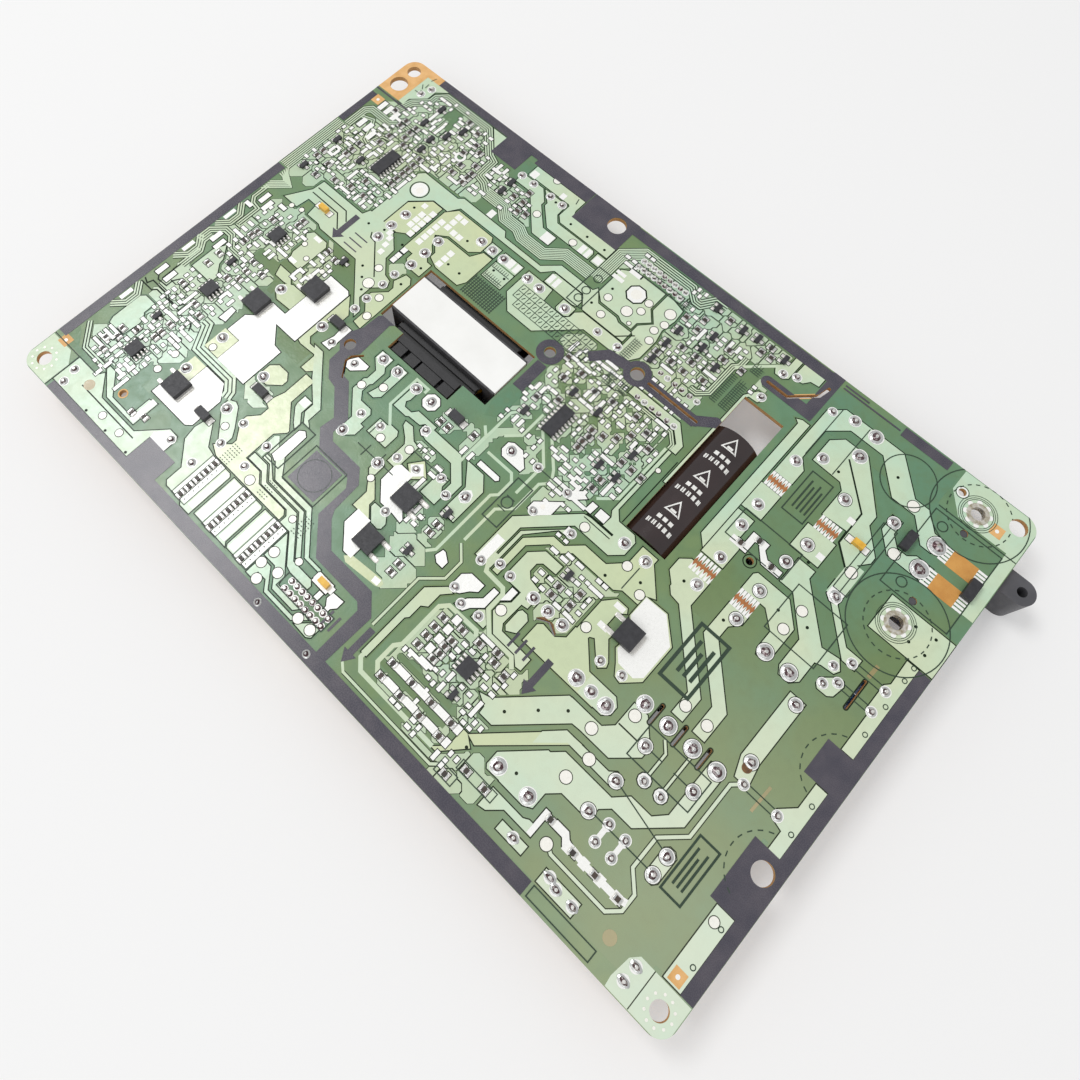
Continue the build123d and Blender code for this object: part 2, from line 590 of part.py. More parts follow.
with BuildPart() as choke_windings:
    for centre, outer, _ in chokes:
        for side in (-1, 1):
            coil_half(centre, outer - ring_inset, outer / 2, side)
finish(choke_windings, "choke_windings")

with BuildPart() as choke_bases:
    for centre, outer, pins in chokes:
        span = (2 * (outer + base_margin), 2 * abs(pins[0][1]) + 4 * base_margin)
        block(centre, (0, 0), span, choke_base_low, seat_z)
        for dx, dy in pins:
            post(centre, (dx, dy), lead_radius, choke_base_low, seat_z, Mode.SUBTRACT)
finish(choke_bases, "choke_bases")


# ------------------------------------------------------------ power factor inductor
pfc_length = 27.0
pfc_width = 14.0
pfc_plate = 2.8
pfc_leg = 3.2
pfc_post = 4.8
pfc_hub_wall = 1.0
pfc_coil = 9.6
pfc_span = (20.2, 20.2)
pfc_top = seat_z
pfc_rail = 7.0                # underside of the terminal rails
pfc_rail_place = 13.2
pfc_rail_size = (20.2, 6.2)
pfc_low_flange = pfc_plate + flange_play
pfc_high_flange = pfc_top - pfc_plate - flange_play - flange_wall

with BuildPart() as pfc_inductor_core:
    block(pfc, (0, 0), (pfc_length, pfc_width), 0, pfc_plate)
    block(pfc, (0, 0), (pfc_length, pfc_width), pfc_top - pfc_plate, pfc_top)
    for side in (-1, 1):
        block(pfc, (side * (pfc_length - pfc_leg) / 2, 0), (pfc_leg, pfc_width), 0, pfc_top)
    post(pfc, (0, 0), pfc_post * unit, 0, pfc_top)
finish(pfc_inductor_core, "pfc_inductor_core")

with BuildPart() as pfc_inductor_bobbin:
    block(pfc, (0, 0), pfc_span, pfc_low_flange, pfc_low_flange + flange_wall)
    block(pfc, (0, 0), pfc_span, pfc_high_flange, pfc_high_flange + flange_wall)
    post(pfc, (0, 0), (pfc_post + pfc_hub_wall) * unit, pfc_low_flange, pfc_high_flange)
    for side in (-1, 1):
        block(pfc, (0, side * pfc_rail_place), pfc_rail_size, pfc_rail, seat_z)
    post(pfc, (0, 0), pfc_post * unit, pfc_low_flange, seat_z, Mode.SUBTRACT)
    for dx, dy in pfc_pins:
        post(pfc, (dx, dy), lead_radius, pfc_rail, seat_z, Mode.SUBTRACT)
finish(pfc_inductor_bobbin, "pfc_inductor_bobbin")

with BuildPart() as pfc_inductor_winding:
    post(pfc, (0, 0), pfc_coil * unit, pfc_low_flange + flange_wall, pfc_high_flange)
    post(pfc, (0, 0), (pfc_post + pfc_hub_wall) * unit, pfc_low_flange, pfc_high_flange,
         Mode.SUBTRACT)
finish(pfc_inductor_winding, "pfc_inductor_winding")


# ------------------------------------------------------------ small inductors
drum_plan = (15.0, 12.0)
drum_low = 0.0
drum_plate = 2.0
drum_post = 4.0
drum_coil = 5.4
inductor_foot = 1.4
foot_span = (20.4, 9.0)
drum_top = seat_z - inductor_foot


def turned(size, along_x):
    """Swaps the plan sizes of a part that stands the other way."""
    return size if along_x else (size[1], size[0])


with BuildPart() as small_inductor_cores:
    for centre, along_x in small_inductors:
        plan = turned(drum_plan, along_x)
        block(centre, (0, 0), plan, drum_low, drum_low + drum_plate)
        block(centre, (0, 0), plan, drum_top - drum_plate, drum_top)
        post(centre, (0, 0), drum_post * unit, drum_low, drum_top)
finish(small_inductor_cores, "small_inductor_cores")

with BuildPart() as small_inductor_windings:
    for centre, _ in small_inductors:
        post(centre, (0, 0), drum_coil * unit, drum_low + drum_plate, drum_top - drum_plate)
        post(centre, (0, 0), drum_post * unit, drum_low, drum_top, Mode.SUBTRACT)
finish(small_inductor_windings, "small_inductor_windings")

with BuildPart() as small_inductor_bases:
    for centre, along_x in small_inductors:
        block(centre, (0, 0), turned(foot_span, along_x), drum_top, seat_z)
        for side in (-1, 1):
            reach = side * small_inductor_pin
            offset = (reach, 0) if along_x else (0, reach)
            post(centre, offset, lead_radius, drum_top, seat_z, Mode.SUBTRACT)
finish(small_inductor_bases, "small_inductor_bases")

with BuildPart() as inductor_pins:
    for centre, _, pins in chokes:
        for dx, dy in pins:
            post(centre, (dx, dy), lead_radius, choke_base_low, tip_z)
    for dx, dy in pfc_pins:
        post(pfc, (dx, dy), lead_radius, pfc_rail, tip_z)
    for centre, along_x in small_inductors:
        for side in (-1, 1):
            reach = side * small_inductor_pin
            offset = (reach, 0) if along_x else (0, reach)
            post(centre, offset, lead_radius, drum_top, tip_z)
finish(inductor_pins, "inductor_pins")


# ------------------------------------------------------------ box, flat and disc capacitors
box_height = 11.5
box_edge = 0.6
flat_size = (15.0, 15.0)
flat_height = 7.6
flat_edge = 1.5
flat_low = seat_z - flat_height
flat_axis = seat_z - flat_height / 2
disc_radius = 4.2
disc_thickness = 3.4
disc_axis = 7.4
varistor_radius = 7.2
varistor_thickness = 4.5
varistor_axis = seat_z - varistor_thickness / 2
root_depth = 1.0              # how far a lead goes into its body

with BuildPart() as box_capacitors:
    for centre, size, pins in box_caps:
        block(centre, (0, 0), size, seat_z - box_height, seat_z)
    fillet(box_capacitors.edges().filter_by(Axis.Z), box_edge)
    for centre, size, pins in box_caps:
        for dx, dy in pins:
            post(centre, (dx, dy), lead_radius, seat_z - root_depth, seat_z, Mode.SUBTRACT)
finish(box_capacitors, "box_capacitors")

with BuildPart() as flat_capacitor:
    block(flat_cap, (0, 0), flat_size, flat_low, seat_z)
    fillet(flat_capacitor.edges().filter_by(Axis.Z), flat_edge)
    for dx, _ in flat_cap_leads:
        rod_y(flat_cap, (dx, (root_depth - flat_size[1]) / 2), lead_radius,
              root_depth * unit, flat_axis, Mode.SUBTRACT)
finish(flat_capacitor, "flat_capacitor")

with BuildPart() as disc_capacitors:
    for centre in disc_caps:
        rod_y(centre, (0, 0), disc_radius * unit, disc_thickness * unit, disc_axis)
        for side in (-1, 1):
            rod_x(centre, (side * disc_radius / 2, 0), lead_radius, disc_radius * unit,
                  disc_axis, Mode.SUBTRACT)
finish(disc_capacitors, "disc_capacitors")

with BuildPart() as surge_varistor:
    post(varistor, (0, 0), varistor_radius * unit, varistor_axis - varistor_thickness / 2,
         varistor_axis + varistor_thickness / 2)
    for dx, dy in varistor_leads:
        rod_x(varistor, (-varistor_radius / 2, dy), lead_radius, varistor_radius * unit,
              varistor_axis, Mode.SUBTRACT)
finish(surge_varistor, "surge_varistor")


# ------------------------------------------------------------ bridge rectifier, transistor, sinks
bridge_size = (24.6, 18.0)
bridge_high = under_z - 0.8
bridge_low = bridge_high - 4.6
bridge_y = 14.0
transistor_size = (12.0, 16.0)
transistor_y = 12.6
sink_plate = 2.0
sink_low = bridge_low - sink_plate
sink_fin = 1.2
sink_fins = 6
sink_foot = 0.4
sink_shift = 1.0
bridge_sink = (25.2, 23.0)
transistor_sink = (20.0, 20.0)
power_axis = (bridge_low + bridge_high) / 2
screw_radius = 1.5
screw_head = 2.8
screw_head_height = 0.6


def power_body(base, shift, size):
    """A flat moulded body with a screw hole, above its heat sink."""
    block(base, (0, shift), size, bridge_low, bridge_high)
    post(base, (0, shift), screw_radius, bridge_low, bridge_high, Mode.SUBTRACT)


def finned_sink(base, screw_y, size):
    """A plate with fins that point down, and a hole for the body's screw."""
    middle = screw_y + sink_shift
    block(base, (0, middle), size, sink_low, bridge_low)
    for index in range(sink_fins):
        place = (index / (sink_fins - 1) - 0.5) * (size[0] - sink_fin)
        block(base, (place, middle), (sink_fin, size[1]), sink_foot, sink_low)
    post(base, (0, screw_y), screw_radius, sink_low, bridge_low, Mode.SUBTRACT)


with BuildPart() as bridge_rectifier:
    power_body(bridge, bridge_y, bridge_size)
    for dx in bridge_pins:
        rod_y(bridge, (dx, bridge_y - bridge_size[1] / 2 + root_depth / 2), lead_radius,
              root_depth * unit, power_axis, Mode.SUBTRACT)
finish(bridge_rectifier, "bridge_rectifier")

with BuildPart() as switching_transistor:
    power_body(transistor, transistor_y, transistor_size)
    for dx in transistor_pins:
        rod_y(transistor, (dx, transistor_y - transistor_size[1] / 2 + root_depth / 2),
              lead_radius, root_depth * unit, power_axis, Mode.SUBTRACT)
finish(switching_transistor, "switching_transistor")

with BuildPart() as power_pins:
    for dx in bridge_pins:
        foot = near(bridge, dx, 0, power_axis)
        root = near(bridge, dx, bridge_y - bridge_size[1] / 2 + root_depth, power_axis)
        wire([root, foot, raised(foot, tip_z)])
    for dx in transistor_pins:
        foot = near(transistor, dx, 0, power_axis)
        root = near(transistor, dx, transistor_y - transistor_size[1] / 2 + root_depth, power_axis)
        wire([root, foot, raised(foot, tip_z)])
finish(power_pins, "power_pins")

with BuildPart() as heat_sinks:
    finned_sink(bridge, bridge_y, bridge_sink)
    finned_sink(transistor, transistor_y, transistor_sink)
finish(heat_sinks, "heat_sinks")

with BuildPart() as sink_screws:
    for base, shift in ((bridge, bridge_y), (transistor, transistor_y)):
        post(base, (0, shift), screw_radius, sink_low, bridge_high)
        post(base, (0, shift), screw_head * unit, bridge_high, bridge_high + screw_head_height)
finish(sink_screws, "sink_screws")


# ------------------------------------------------------------ fuse, inrush resistor, diodes
fuse_radius = 2.5
fuse_wall = 0.5
fuse_length = 20.0
fuse_cap_length = 5.0
fuse_cap_wall = 0.3
fuse_cap_radius = fuse_radius + fuse_cap_wall
fuse_wire = 0.25
fuse_axis = 8.4
resistor_radius = 2.4
resistor_length = 12.0
resistor_axis = 8.6
diode_radius = 2.6
diode_length = 9.5
diode_axis = under_z - 1.2 - diode_radius

with BuildPart() as fuse_tube:
    rod_y(fuse, (0, 0), fuse_radius, fuse_length * unit, fuse_axis)
    rod_y(fuse, (0, 0), fuse_radius - fuse_wall, fuse_length * unit, fuse_axis, Mode.SUBTRACT)
finish(fuse_tube, "fuse_tube")

with BuildPart() as fuse_caps:
    for side in (-1, 1):
        middle = side * ((fuse_length - fuse_cap_length) / 2 + fuse_cap_wall)
        rod_y(fuse, (0, middle), fuse_cap_radius, fuse_cap_length * unit, fuse_axis)
    rod_y(fuse, (0, 0), fuse_radius, fuse_length * unit, fuse_axis, Mode.SUBTRACT)
finish(fuse_caps, "fuse_caps")

with BuildPart() as fuse_element:
    rod_y(fuse, (0, 0), fuse_wire, fuse_length * unit, fuse_axis)
finish(fuse_element, "fuse_element")

with BuildPart() as inrush_resistor:
    rod_y(inrush, (0, 0), resistor_radius, resistor_length * unit, resistor_axis)
    for side in (-1, 1):
        rod_y(inrush, (0, side * (resistor_length - root_depth) / 2), lead_radius,
              root_depth * unit, resistor_axis, Mode.SUBTRACT)
finish(inrush_resistor, "inrush_resistor")


with BuildPart() as power_diodes:
    for start, end in diodes:
        (x0, y0, _), (x1, y1, _) = at(*start), at(*end)
        along = Plane(origin=((x0 + x1) / 2, (y0 + y1) / 2, diode_axis), z_dir=(x1 - x0, y1 - y0, 0))
        with BuildSketch(along):
            Circle(diode_radius * unit)
        extrude(amount=diode_length * unit / 2, both=True)
        with BuildSketch(along):
            Circle(lead_radius)
        extrude(amount=diode_length * unit / 2, both=True, mode=Mode.SUBTRACT)
finish(power_diodes, "power_diodes")

with BuildPart() as axial_leads:
    for side in (-1, 1):
        foot = near(fuse, 0, side * fuse_lead, fuse_axis)
        root = near(fuse, 0, side * (fuse_length / 2 + fuse_cap_wall), fuse_axis)
        wire([root, foot, raised(foot, tip_z)])
        foot = near(inrush, 0, side * inrush_lead, resistor_axis)
        root = near(inrush, 0, side * (resistor_length / 2 - root_depth), resistor_axis)
        wire([root, foot, raised(foot, tip_z)])
    for start, end in diodes:
        first, last = at(*start, diode_axis), at(*end, diode_axis)
        wire([raised(first, tip_z), first, last, raised(last, tip_z)])
finish(axial_leads, "axial_leads")


# ------------------------------------------------------------ small electrolytic capacitors
small_cap_radius = 5.0
small_cap_length = 20.0
small_cap_start = 3.0         # from the leads to the rubber seal
small_cap_axis = seat_z - small_cap_radius
small_wall = 0.15
small_seal = 2.0
small_curl = 1.0              # the sleeve curls over both ends
small_seal_radius = small_cap_radius - 0.8


def small_cap_rod(radius, start, length, mode=Mode.ADD):
    """The same length of round body in every small capacitor, from its seal end."""
    middle = -(small_cap_start + start + length / 2)
    for centre in small_caps_down:
        rod_y(centre, (0, middle), radius * unit, length * unit, small_cap_axis, mode)
    for centre in small_caps_left:
        rod_x(centre, (middle, 0), radius * unit, length * unit, small_cap_axis, mode)


with BuildPart() as small_capacitor_sleeves:
    small_cap_rod(small_cap_radius, 0, small_cap_length)
    small_cap_rod(small_cap_radius - small_wall, small_wall, small_cap_length - 2 * small_wall,
                  Mode.SUBTRACT)
    small_cap_rod(small_cap_radius - small_curl, 0, small_cap_length, Mode.SUBTRACT)
finish(small_capacitor_sleeves, "small_capacitor_sleeves")

with BuildPart() as small_capacitor_cans:
    small_cap_rod(small_cap_radius - small_wall, small_wall, small_cap_length - 2 * small_wall)
    small_cap_rod(small_seal_radius, small_wall, small_seal, Mode.SUBTRACT)
finish(small_capacitor_cans, "small_capacitor_cans")

with BuildPart() as small_capacitor_seals:
    small_cap_rod(small_seal_radius, small_wall, small_seal)
    for side in (-1, 1):
        reach = side * small_cap_pitch
        middle = -(small_cap_start + small_wall + small_seal / 2)
        for centre in small_caps_down:
            rod_y(centre, (reach, middle), lead_radius, small_seal * unit, small_cap_axis,
                  Mode.SUBTRACT)
        for centre in small_caps_left:
            rod_x(centre, (middle, reach), lead_radius, small_seal * unit, small_cap_axis,
                  Mode.SUBTRACT)
finish(small_capacitor_seals, "small_capacitor_seals")

# ------------------------------------------------------------ leads of every capacitor
with BuildPart() as capacitor_leads:
    for centre, _, pins in box_caps:
        for dx, dy in pins:
            post(centre, (dx, dy), lead_radius, seat_z - root_depth, tip_z)
    for dx, dy in flat_cap_leads:
        foot = near(flat_cap, dx, dy, flat_axis)
        root = near(flat_cap, dx, root_depth - flat_size[1] / 2, flat_axis)
        wire([root, foot, raised(foot, tip_z)])
    for centre in disc_caps:
        for side in (-1, 1):
            foot = near(centre, side * disc_lead, 0, disc_axis)
            root = near(centre, side * 0.3, 0, disc_axis)
            wire([root, foot, raised(foot, tip_z)])
    for dx, dy in varistor_leads:
        foot = near(varistor, dx, dy, varistor_axis)
        root = near(varistor, -0.5, dy, varistor_axis)
        wire([root, foot, raised(foot, tip_z)])
    for dx, dy in main_cap_leads:
        foot = near(main_cap, dx, dy, cap_axis)
        root = near(main_cap, dx, seal_middle + seal_depth / 2, cap_axis)
        wire([root, foot, raised(foot, tip_z)])
    root_at = -(small_cap_start + small_wall + small_seal)
    for side in (-1, 1):
        reach = side * small_cap_pitch
        for centre in small_caps_down:
            foot = near(centre, reach, 0, small_cap_axis)
            wire([near(centre, reach, root_at, small_cap_axis), foot, raised(foot, tip_z)])
        for centre in small_caps_left:
            foot = near(centre, 0, reach, small_cap_axis)
            wire([near(centre, root_at, reach, small_cap_axis), foot, raised(foot, tip_z)])
finish(capacitor_leads, "capacitor_leads")


# ------------------------------------------------------------ output headers
header_low = 3.0
header_floor = 2.2
header_width = 7.0
header_margin = 2.0
pin_low = 5.0

with BuildPart() as output_headers:
    for centre, count in headers:
        length = (count - 1) * header_pitch + 2 * header_margin
        block(centre, (0, 0), (length, header_width), header_low, seat_z)
        block(centre, (0, 0), (length - 2 * header_wall, header_width - 2 * header_wall),
              header_low, seat_z - header_floor, Mode.SUBTRACT)
        for column in range(count):
            dx = (column - (count - 1) / 2) * header_pitch
            for side in (-1, 1):
                post(centre, (dx, side * header_row), lead_radius, header_low, seat_z,
                     Mode.SUBTRACT)
finish(output_headers, "output_headers")

with BuildPart() as header_pins:
    for centre, count in headers:
        for column in range(count):
            dx = (column - (count - 1) / 2) * header_pitch
            for side in (-1, 1):
                post(centre, (dx, side * header_row), lead_radius, pin_low, tip_z)
finish(header_pins, "header_pins")


# ------------------------------------------------------------ optocouplers
coupler_size = (4.6, 6.5)
coupler_height = 3.5
coupler_low = seat_z - coupler_height
coupler_axis = seat_z - coupler_height / 2

with BuildPart() as optocouplers:
    for centre in couplers:
        block(centre, (0, 0), coupler_size, coupler_low, seat_z)
finish(optocouplers, "optocouplers")

with BuildPart() as optocoupler_leads:
    for centre in couplers:
        for side_x in (-1, 1):
            for side_y in (-1, 1):
                dx = side_x * coupler_pin[0]
                foot = near(centre, dx, side_y * coupler_pin[1], coupler_axis)
                root = near(centre, dx, side_y * coupler_size[1] / 2, coupler_axis)
                wire([root, foot, raised(foot, tip_z)])
finish(optocoupler_leads, "optocoupler_leads")


# ------------------------------------------------------------ surface-mount parts
ic_lift = 0.2                 # gap below a controller
ic_height = 1.5
ic_width = 3.9
so16_length = 9.9
so8_length = 4.9
ic_pitch = 1.27
foot_thickness = 0.2
foot_width = 0.42
tab_thickness = 0.5
power_size = (6.1, 6.4)
power_height = 2.3
power_reach = 0.9
power_foot = (2.6, 0.8)
power_pitch = 2.3
surge_size = (4.2, 2.6)
surge_height = 2.1
surge_foot = (2.4, 1.6)
sot_size = (1.4, 2.9)
sot_height = 1.0
sot_reach = 0.75
sot_foot = 0.45
sot_lift = 0.1
chip_length = 2.0
chip_width = 1.25
chip_height = 0.55
chip_end = 0.4
tantalum_size = (3.2, 1.7)
tantalum_height = 1.7
line_height = 2.0


lead_shoulder = 0.7           # height of a controller lead's shoulder
shoulder_size = (0.4, foot_width)
drop_size = (foot_thickness, foot_width)
foot_size = (0.7, foot_width)


def both_sides(places, dx, rows):
    """Offsets of `dx` to either side of each centre, in rows along Y."""
    return [near(centre, side * dx, dy) for centre in places for dy in rows for side in (-1, 1)]


def lead_rows(count):
    """Where a controller's leads stand along Y."""
    return [(row - (count - 1) / 2) * ic_pitch for row in range(count)]


def all_leads(reach):
    """The same point of every lead, `reach` outside its controller's side."""
    dx = ic_width / 2 + reach
    return both_sides(so16_chips, dx, lead_rows(8)) + both_sides(so8_chips, dx, lead_rows(4))


with BuildPart() as controllers:
    for places, length in ((so16_chips, so16_length), (so8_chips, so8_length)):
        blocks([at(*place) for place in places], (ic_width, length),
               top_z + ic_lift, top_z + ic_height)
finish(controllers, "controllers")

with BuildPart() as controller_leads:
    shoulder_top = top_z + lead_shoulder + foot_thickness
    blocks(all_leads(0.2), shoulder_size, top_z + lead_shoulder, shoulder_top)
    blocks(all_leads(0.45), drop_size, top_z, shoulder_top)
    blocks(all_leads(0.8), foot_size, top_z, top_z + foot_thickness)
finish(controller_leads, "controller_leads")

with BuildPart() as power_transistors:
    blocks([at(*centre) for centre, _ in power_chips], power_size,
           top_z + tab_thickness, top_z + power_height)
finish(power_transistors, "power_transistors")

power_tab = (6.1, 5.4)
power_neck = (0.6, 0.8)

with BuildPart() as power_tabs:
    foot_dx = (power_size[0] + power_foot[0]) / 2
    blocks([near(centre, side * power_reach, 0) for centre, side in power_chips], power_tab,
           top_z, top_z + tab_thickness)
    blocks([near(centre, -side * foot_dx, row * power_pitch)
            for centre, side in power_chips for row in (-1, 1)], power_foot,
           top_z, top_z + tab_thickness)
    blocks([near(centre, -side * (foot_dx - 1.0), row * power_pitch)
            for centre, side in power_chips for row in (-1, 1)], power_neck,
           top_z, top_z + 2 * tab_thickness)
finish(power_tabs, "power_tabs")

with BuildPart() as surge_diode_bodies:
    blocks([at(*place) for place in surge_diodes], surge_size,
           top_z + foot_thickness, top_z + surge_height)
finish(surge_diode_bodies, "surge_diodes")

with BuildPart() as small_transistor_bodies:
    blocks([at(*place) for place in small_transistors], sot_size, top_z + sot_lift,
           top_z + sot_height)
finish(small_transistor_bodies, "small_transistors")

with BuildPart() as small_transistor_leads:
    sot_dx = (sot_size[0] + sot_reach) / 2
    blocks([near(centre, dx, dy) for centre in small_transistors
            for dx, dy in ((-sot_dx, 0.95), (-sot_dx, -0.95), (sot_dx, 0))],
           (sot_reach, sot_foot), top_z, top_z + sot_height / 2)
finish(small_transistor_leads, "small_transistor_leads")

chip_rows = ((chips_along_x, True), (chips_along_y, False))

with BuildPart() as chip_bodies:
    for places, along_x in chip_rows:
        blocks([at(*place) for place in places],
               turned((chip_length - 2 * chip_end, chip_width), along_x),
               top_z, top_z + chip_height)
finish(chip_bodies, "chip_bodies")

with BuildPart() as chip_ends:
    end_reach = (chip_length - chip_end) / 2
    for places, along_x in chip_rows:
        blocks([near(place, *turned((side * end_reach, 0), along_x))
                for place in places for side in (-1, 1)],
               turned((chip_end, chip_width), along_x), top_z, top_z + chip_height)
    blocks(both_sides(surge_diodes, surge_size[0] / 2, [0]), surge_foot,
           top_z, top_z + foot_thickness)
finish(chip_ends, "chip_ends")

with BuildPart() as tantalum_capacitors:
    blocks([at(*place) for place in yellow_chips], tantalum_size, top_z,
           top_z + tantalum_height)
finish(tantalum_capacitors, "tantalum_capacitors")

with BuildPart() as bleed_resistors:
    for centre, length, width in line_blocks:
        block(centre, (0, 0), (length, width), top_z, top_z + line_height)
finish(bleed_resistors, "bleed_resistors")
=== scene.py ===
import bpy
import heapq
import json
import math
import random
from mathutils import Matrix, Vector
from mathutils.geometry import delaunay_2d_cdt


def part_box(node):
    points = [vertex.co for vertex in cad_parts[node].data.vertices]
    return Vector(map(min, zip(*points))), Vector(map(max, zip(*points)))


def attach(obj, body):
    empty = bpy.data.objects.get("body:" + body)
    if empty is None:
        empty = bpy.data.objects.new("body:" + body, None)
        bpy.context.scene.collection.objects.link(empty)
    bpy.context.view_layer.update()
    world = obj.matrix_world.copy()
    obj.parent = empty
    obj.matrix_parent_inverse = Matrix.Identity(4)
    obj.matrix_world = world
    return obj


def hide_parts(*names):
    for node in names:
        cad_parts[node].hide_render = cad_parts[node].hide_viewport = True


# The looks of a single-sided power supply board: solder side up, with copper, solder
# mask, tin and print as flat shapes on levels within an eighth of a millimetre of it.

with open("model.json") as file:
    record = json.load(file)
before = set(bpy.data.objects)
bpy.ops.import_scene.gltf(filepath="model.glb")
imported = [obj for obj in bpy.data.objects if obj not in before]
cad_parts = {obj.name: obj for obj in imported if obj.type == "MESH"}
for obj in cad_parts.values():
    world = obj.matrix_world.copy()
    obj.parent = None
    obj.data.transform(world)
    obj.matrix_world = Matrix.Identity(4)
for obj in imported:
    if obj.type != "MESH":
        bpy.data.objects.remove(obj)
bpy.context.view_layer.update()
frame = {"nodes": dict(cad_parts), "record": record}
nodes = frame["nodes"]
MM = 0.001

# ------------------------------------------------------------ board frame
board_low, board_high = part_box("circuit_board")
BOARD_X = (board_high.x - board_low.x) / MM
BOARD_Y = (board_high.y - board_low.y) / MM


def place(x, y, height):
    """A point on the board drawing, in millimetres, as a point of the model."""
    return (board_low.x + x * MM, board_low.y + y * MM, board_high.z + height * MM)


def drawing(point):
    """The board drawing's x and y, in millimetres, of a point of the model."""
    return ((point.x - board_low.x) / MM, (point.y - board_low.y) / MM)


def islands(node):
    """The boxes of the separate solids in a CAD node: (low corner, high corner)."""
    mesh = nodes[node].data
    keys = {}
    index = []
    for vertex in mesh.vertices:
        key = tuple(round(value, 6) for value in vertex.co)
        index.append(keys.setdefault(key, len(keys)))
    parent = list(range(len(keys)))

    def root(item):
        """The vertex that stands for all vertices joined with this one."""
        while parent[item] != item:
            parent[item] = parent[parent[item]]
            item = parent[item]
        return item

    for polygon in mesh.polygons:
        first = root(index[polygon.vertices[0]])
        for corner in polygon.vertices[1:]:
            parent[root(index[corner])] = first
    boxes = {}
    for vertex, key in zip(mesh.vertices, index):
        group = root(key)
        low, high = boxes.get(group, (vertex.co.copy(), vertex.co.copy()))
        for axis in range(3):
            low[axis] = min(low[axis], vertex.co[axis])
            high[axis] = max(high[axis], vertex.co[axis])
        boxes[group] = (low, high)
    found = list(boxes.values())
    found.sort(key=lambda pair: (round(pair[0].x, 5), round(pair[0].y, 5)))
    return found


def plans(node, margin=0.0):
    """The place and half size, in millimetres, of each separate solid of a node."""
    found = []
    for low, high in islands(node):
        x, y = drawing((low + high) / 2)
        found.append((x, y, (high.x - low.x) / 2 / MM + margin, (high.y - low.y) / 2 / MM + margin))
    return found


HEADER_SPOT = (104, 8, 121, 13)       # x0, y0, x1, y1 on the drawing


def header_pins():
    """The places of the output headers' soldered pins."""
    x0, y0, x1, y1 = HEADER_SPOT
    return [(x, y) for x, y, _, _ in plans("solder_joints") if x0 < x < x1 and y0 < y < y1]


def top_loops():
    """The outlines of the holes and windows in the board's top face, on the drawing."""
    mesh = nodes["circuit_board"].data
    points = {}
    edges = {}
    for polygon in mesh.polygons:
        if polygon.normal.z < 0.9 or polygon.center.z < board_high.z - 0.01 * MM:
            continue
        keys = []
        for corner in polygon.vertices:
            x, y = drawing(mesh.vertices[corner].co)
            key = (round(x, 3), round(y, 3))
            points[key] = (x, y)
            keys.append(key)
        for first, second in zip(keys, keys[1:] + keys[:1]):
            pair = (min(first, second), max(first, second))
            edges[pair] = edges.get(pair, 0) + 1
    near = {}
    for (first, second), count in edges.items():
        if count == 1:
            near.setdefault(first, []).append(second)
            near.setdefault(second, []).append(first)
    loops = []
    seen = set()
    for start in sorted(near):
        if start in seen:
            continue
        loop = [start]
        seen.add(start)
        here = start
        while True:
            following = [key for key in near[here] if key not in seen]
            if not following:
                break
            here = following[0]
            seen.add(here)
            loop.append(here)
        loops.append([points[key] for key in loop])
    return loops


def extent(points):
    """The box round some points of the drawing: x0, y0, x1, y1."""
    xs = [point[0] for point in points]
    ys = [point[1] for point in points]
    return min(xs), min(ys), max(xs), max(ys)


HOLE_FLOOR = 1.6              # narrower holes are lead holes, covered by their solder
SLOT_WIDTH = 1.3              # openings up to this width and length have a dark rim of painted shade
SLOT_LENGTH = 10
openings = []
board_outline = []
for loop in top_loops():
    x0, y0, x1, y1 = extent(loop)
    if x1 - x0 > 0.9 * BOARD_X:
        board_outline = loop
    elif max(x1 - x0, y1 - y0) > HOLE_FLOOR:
        openings.append(((x0, y0, x1, y1), loop))

# ------------------------------------------------------------ colours and materials


def srgb(red, green, blue):
    """A screen colour, 0 to 255, as the linear colour that shaders take."""
    def linear(value):
        """One channel."""
        value = value / 255
        return value / 12.92 if value <= 0.04045 else ((value + 0.055) / 1.055) ** 2.4
    return (linear(red), linear(green), linear(blue), 1.0)


# painted sheen: mask and copper are mixed towards a pale tone near the board's near corner, as a
# lamp's soft reflection would lighten them
SHEEN_CORNER = (0.106, -0.068, 0.0146)         # metres, in the model
SHEEN_REACH = (0.015, 0.09)                    # metres: full painted sheen within, and none beyond
SHEEN_PALE = (232, 230, 200)


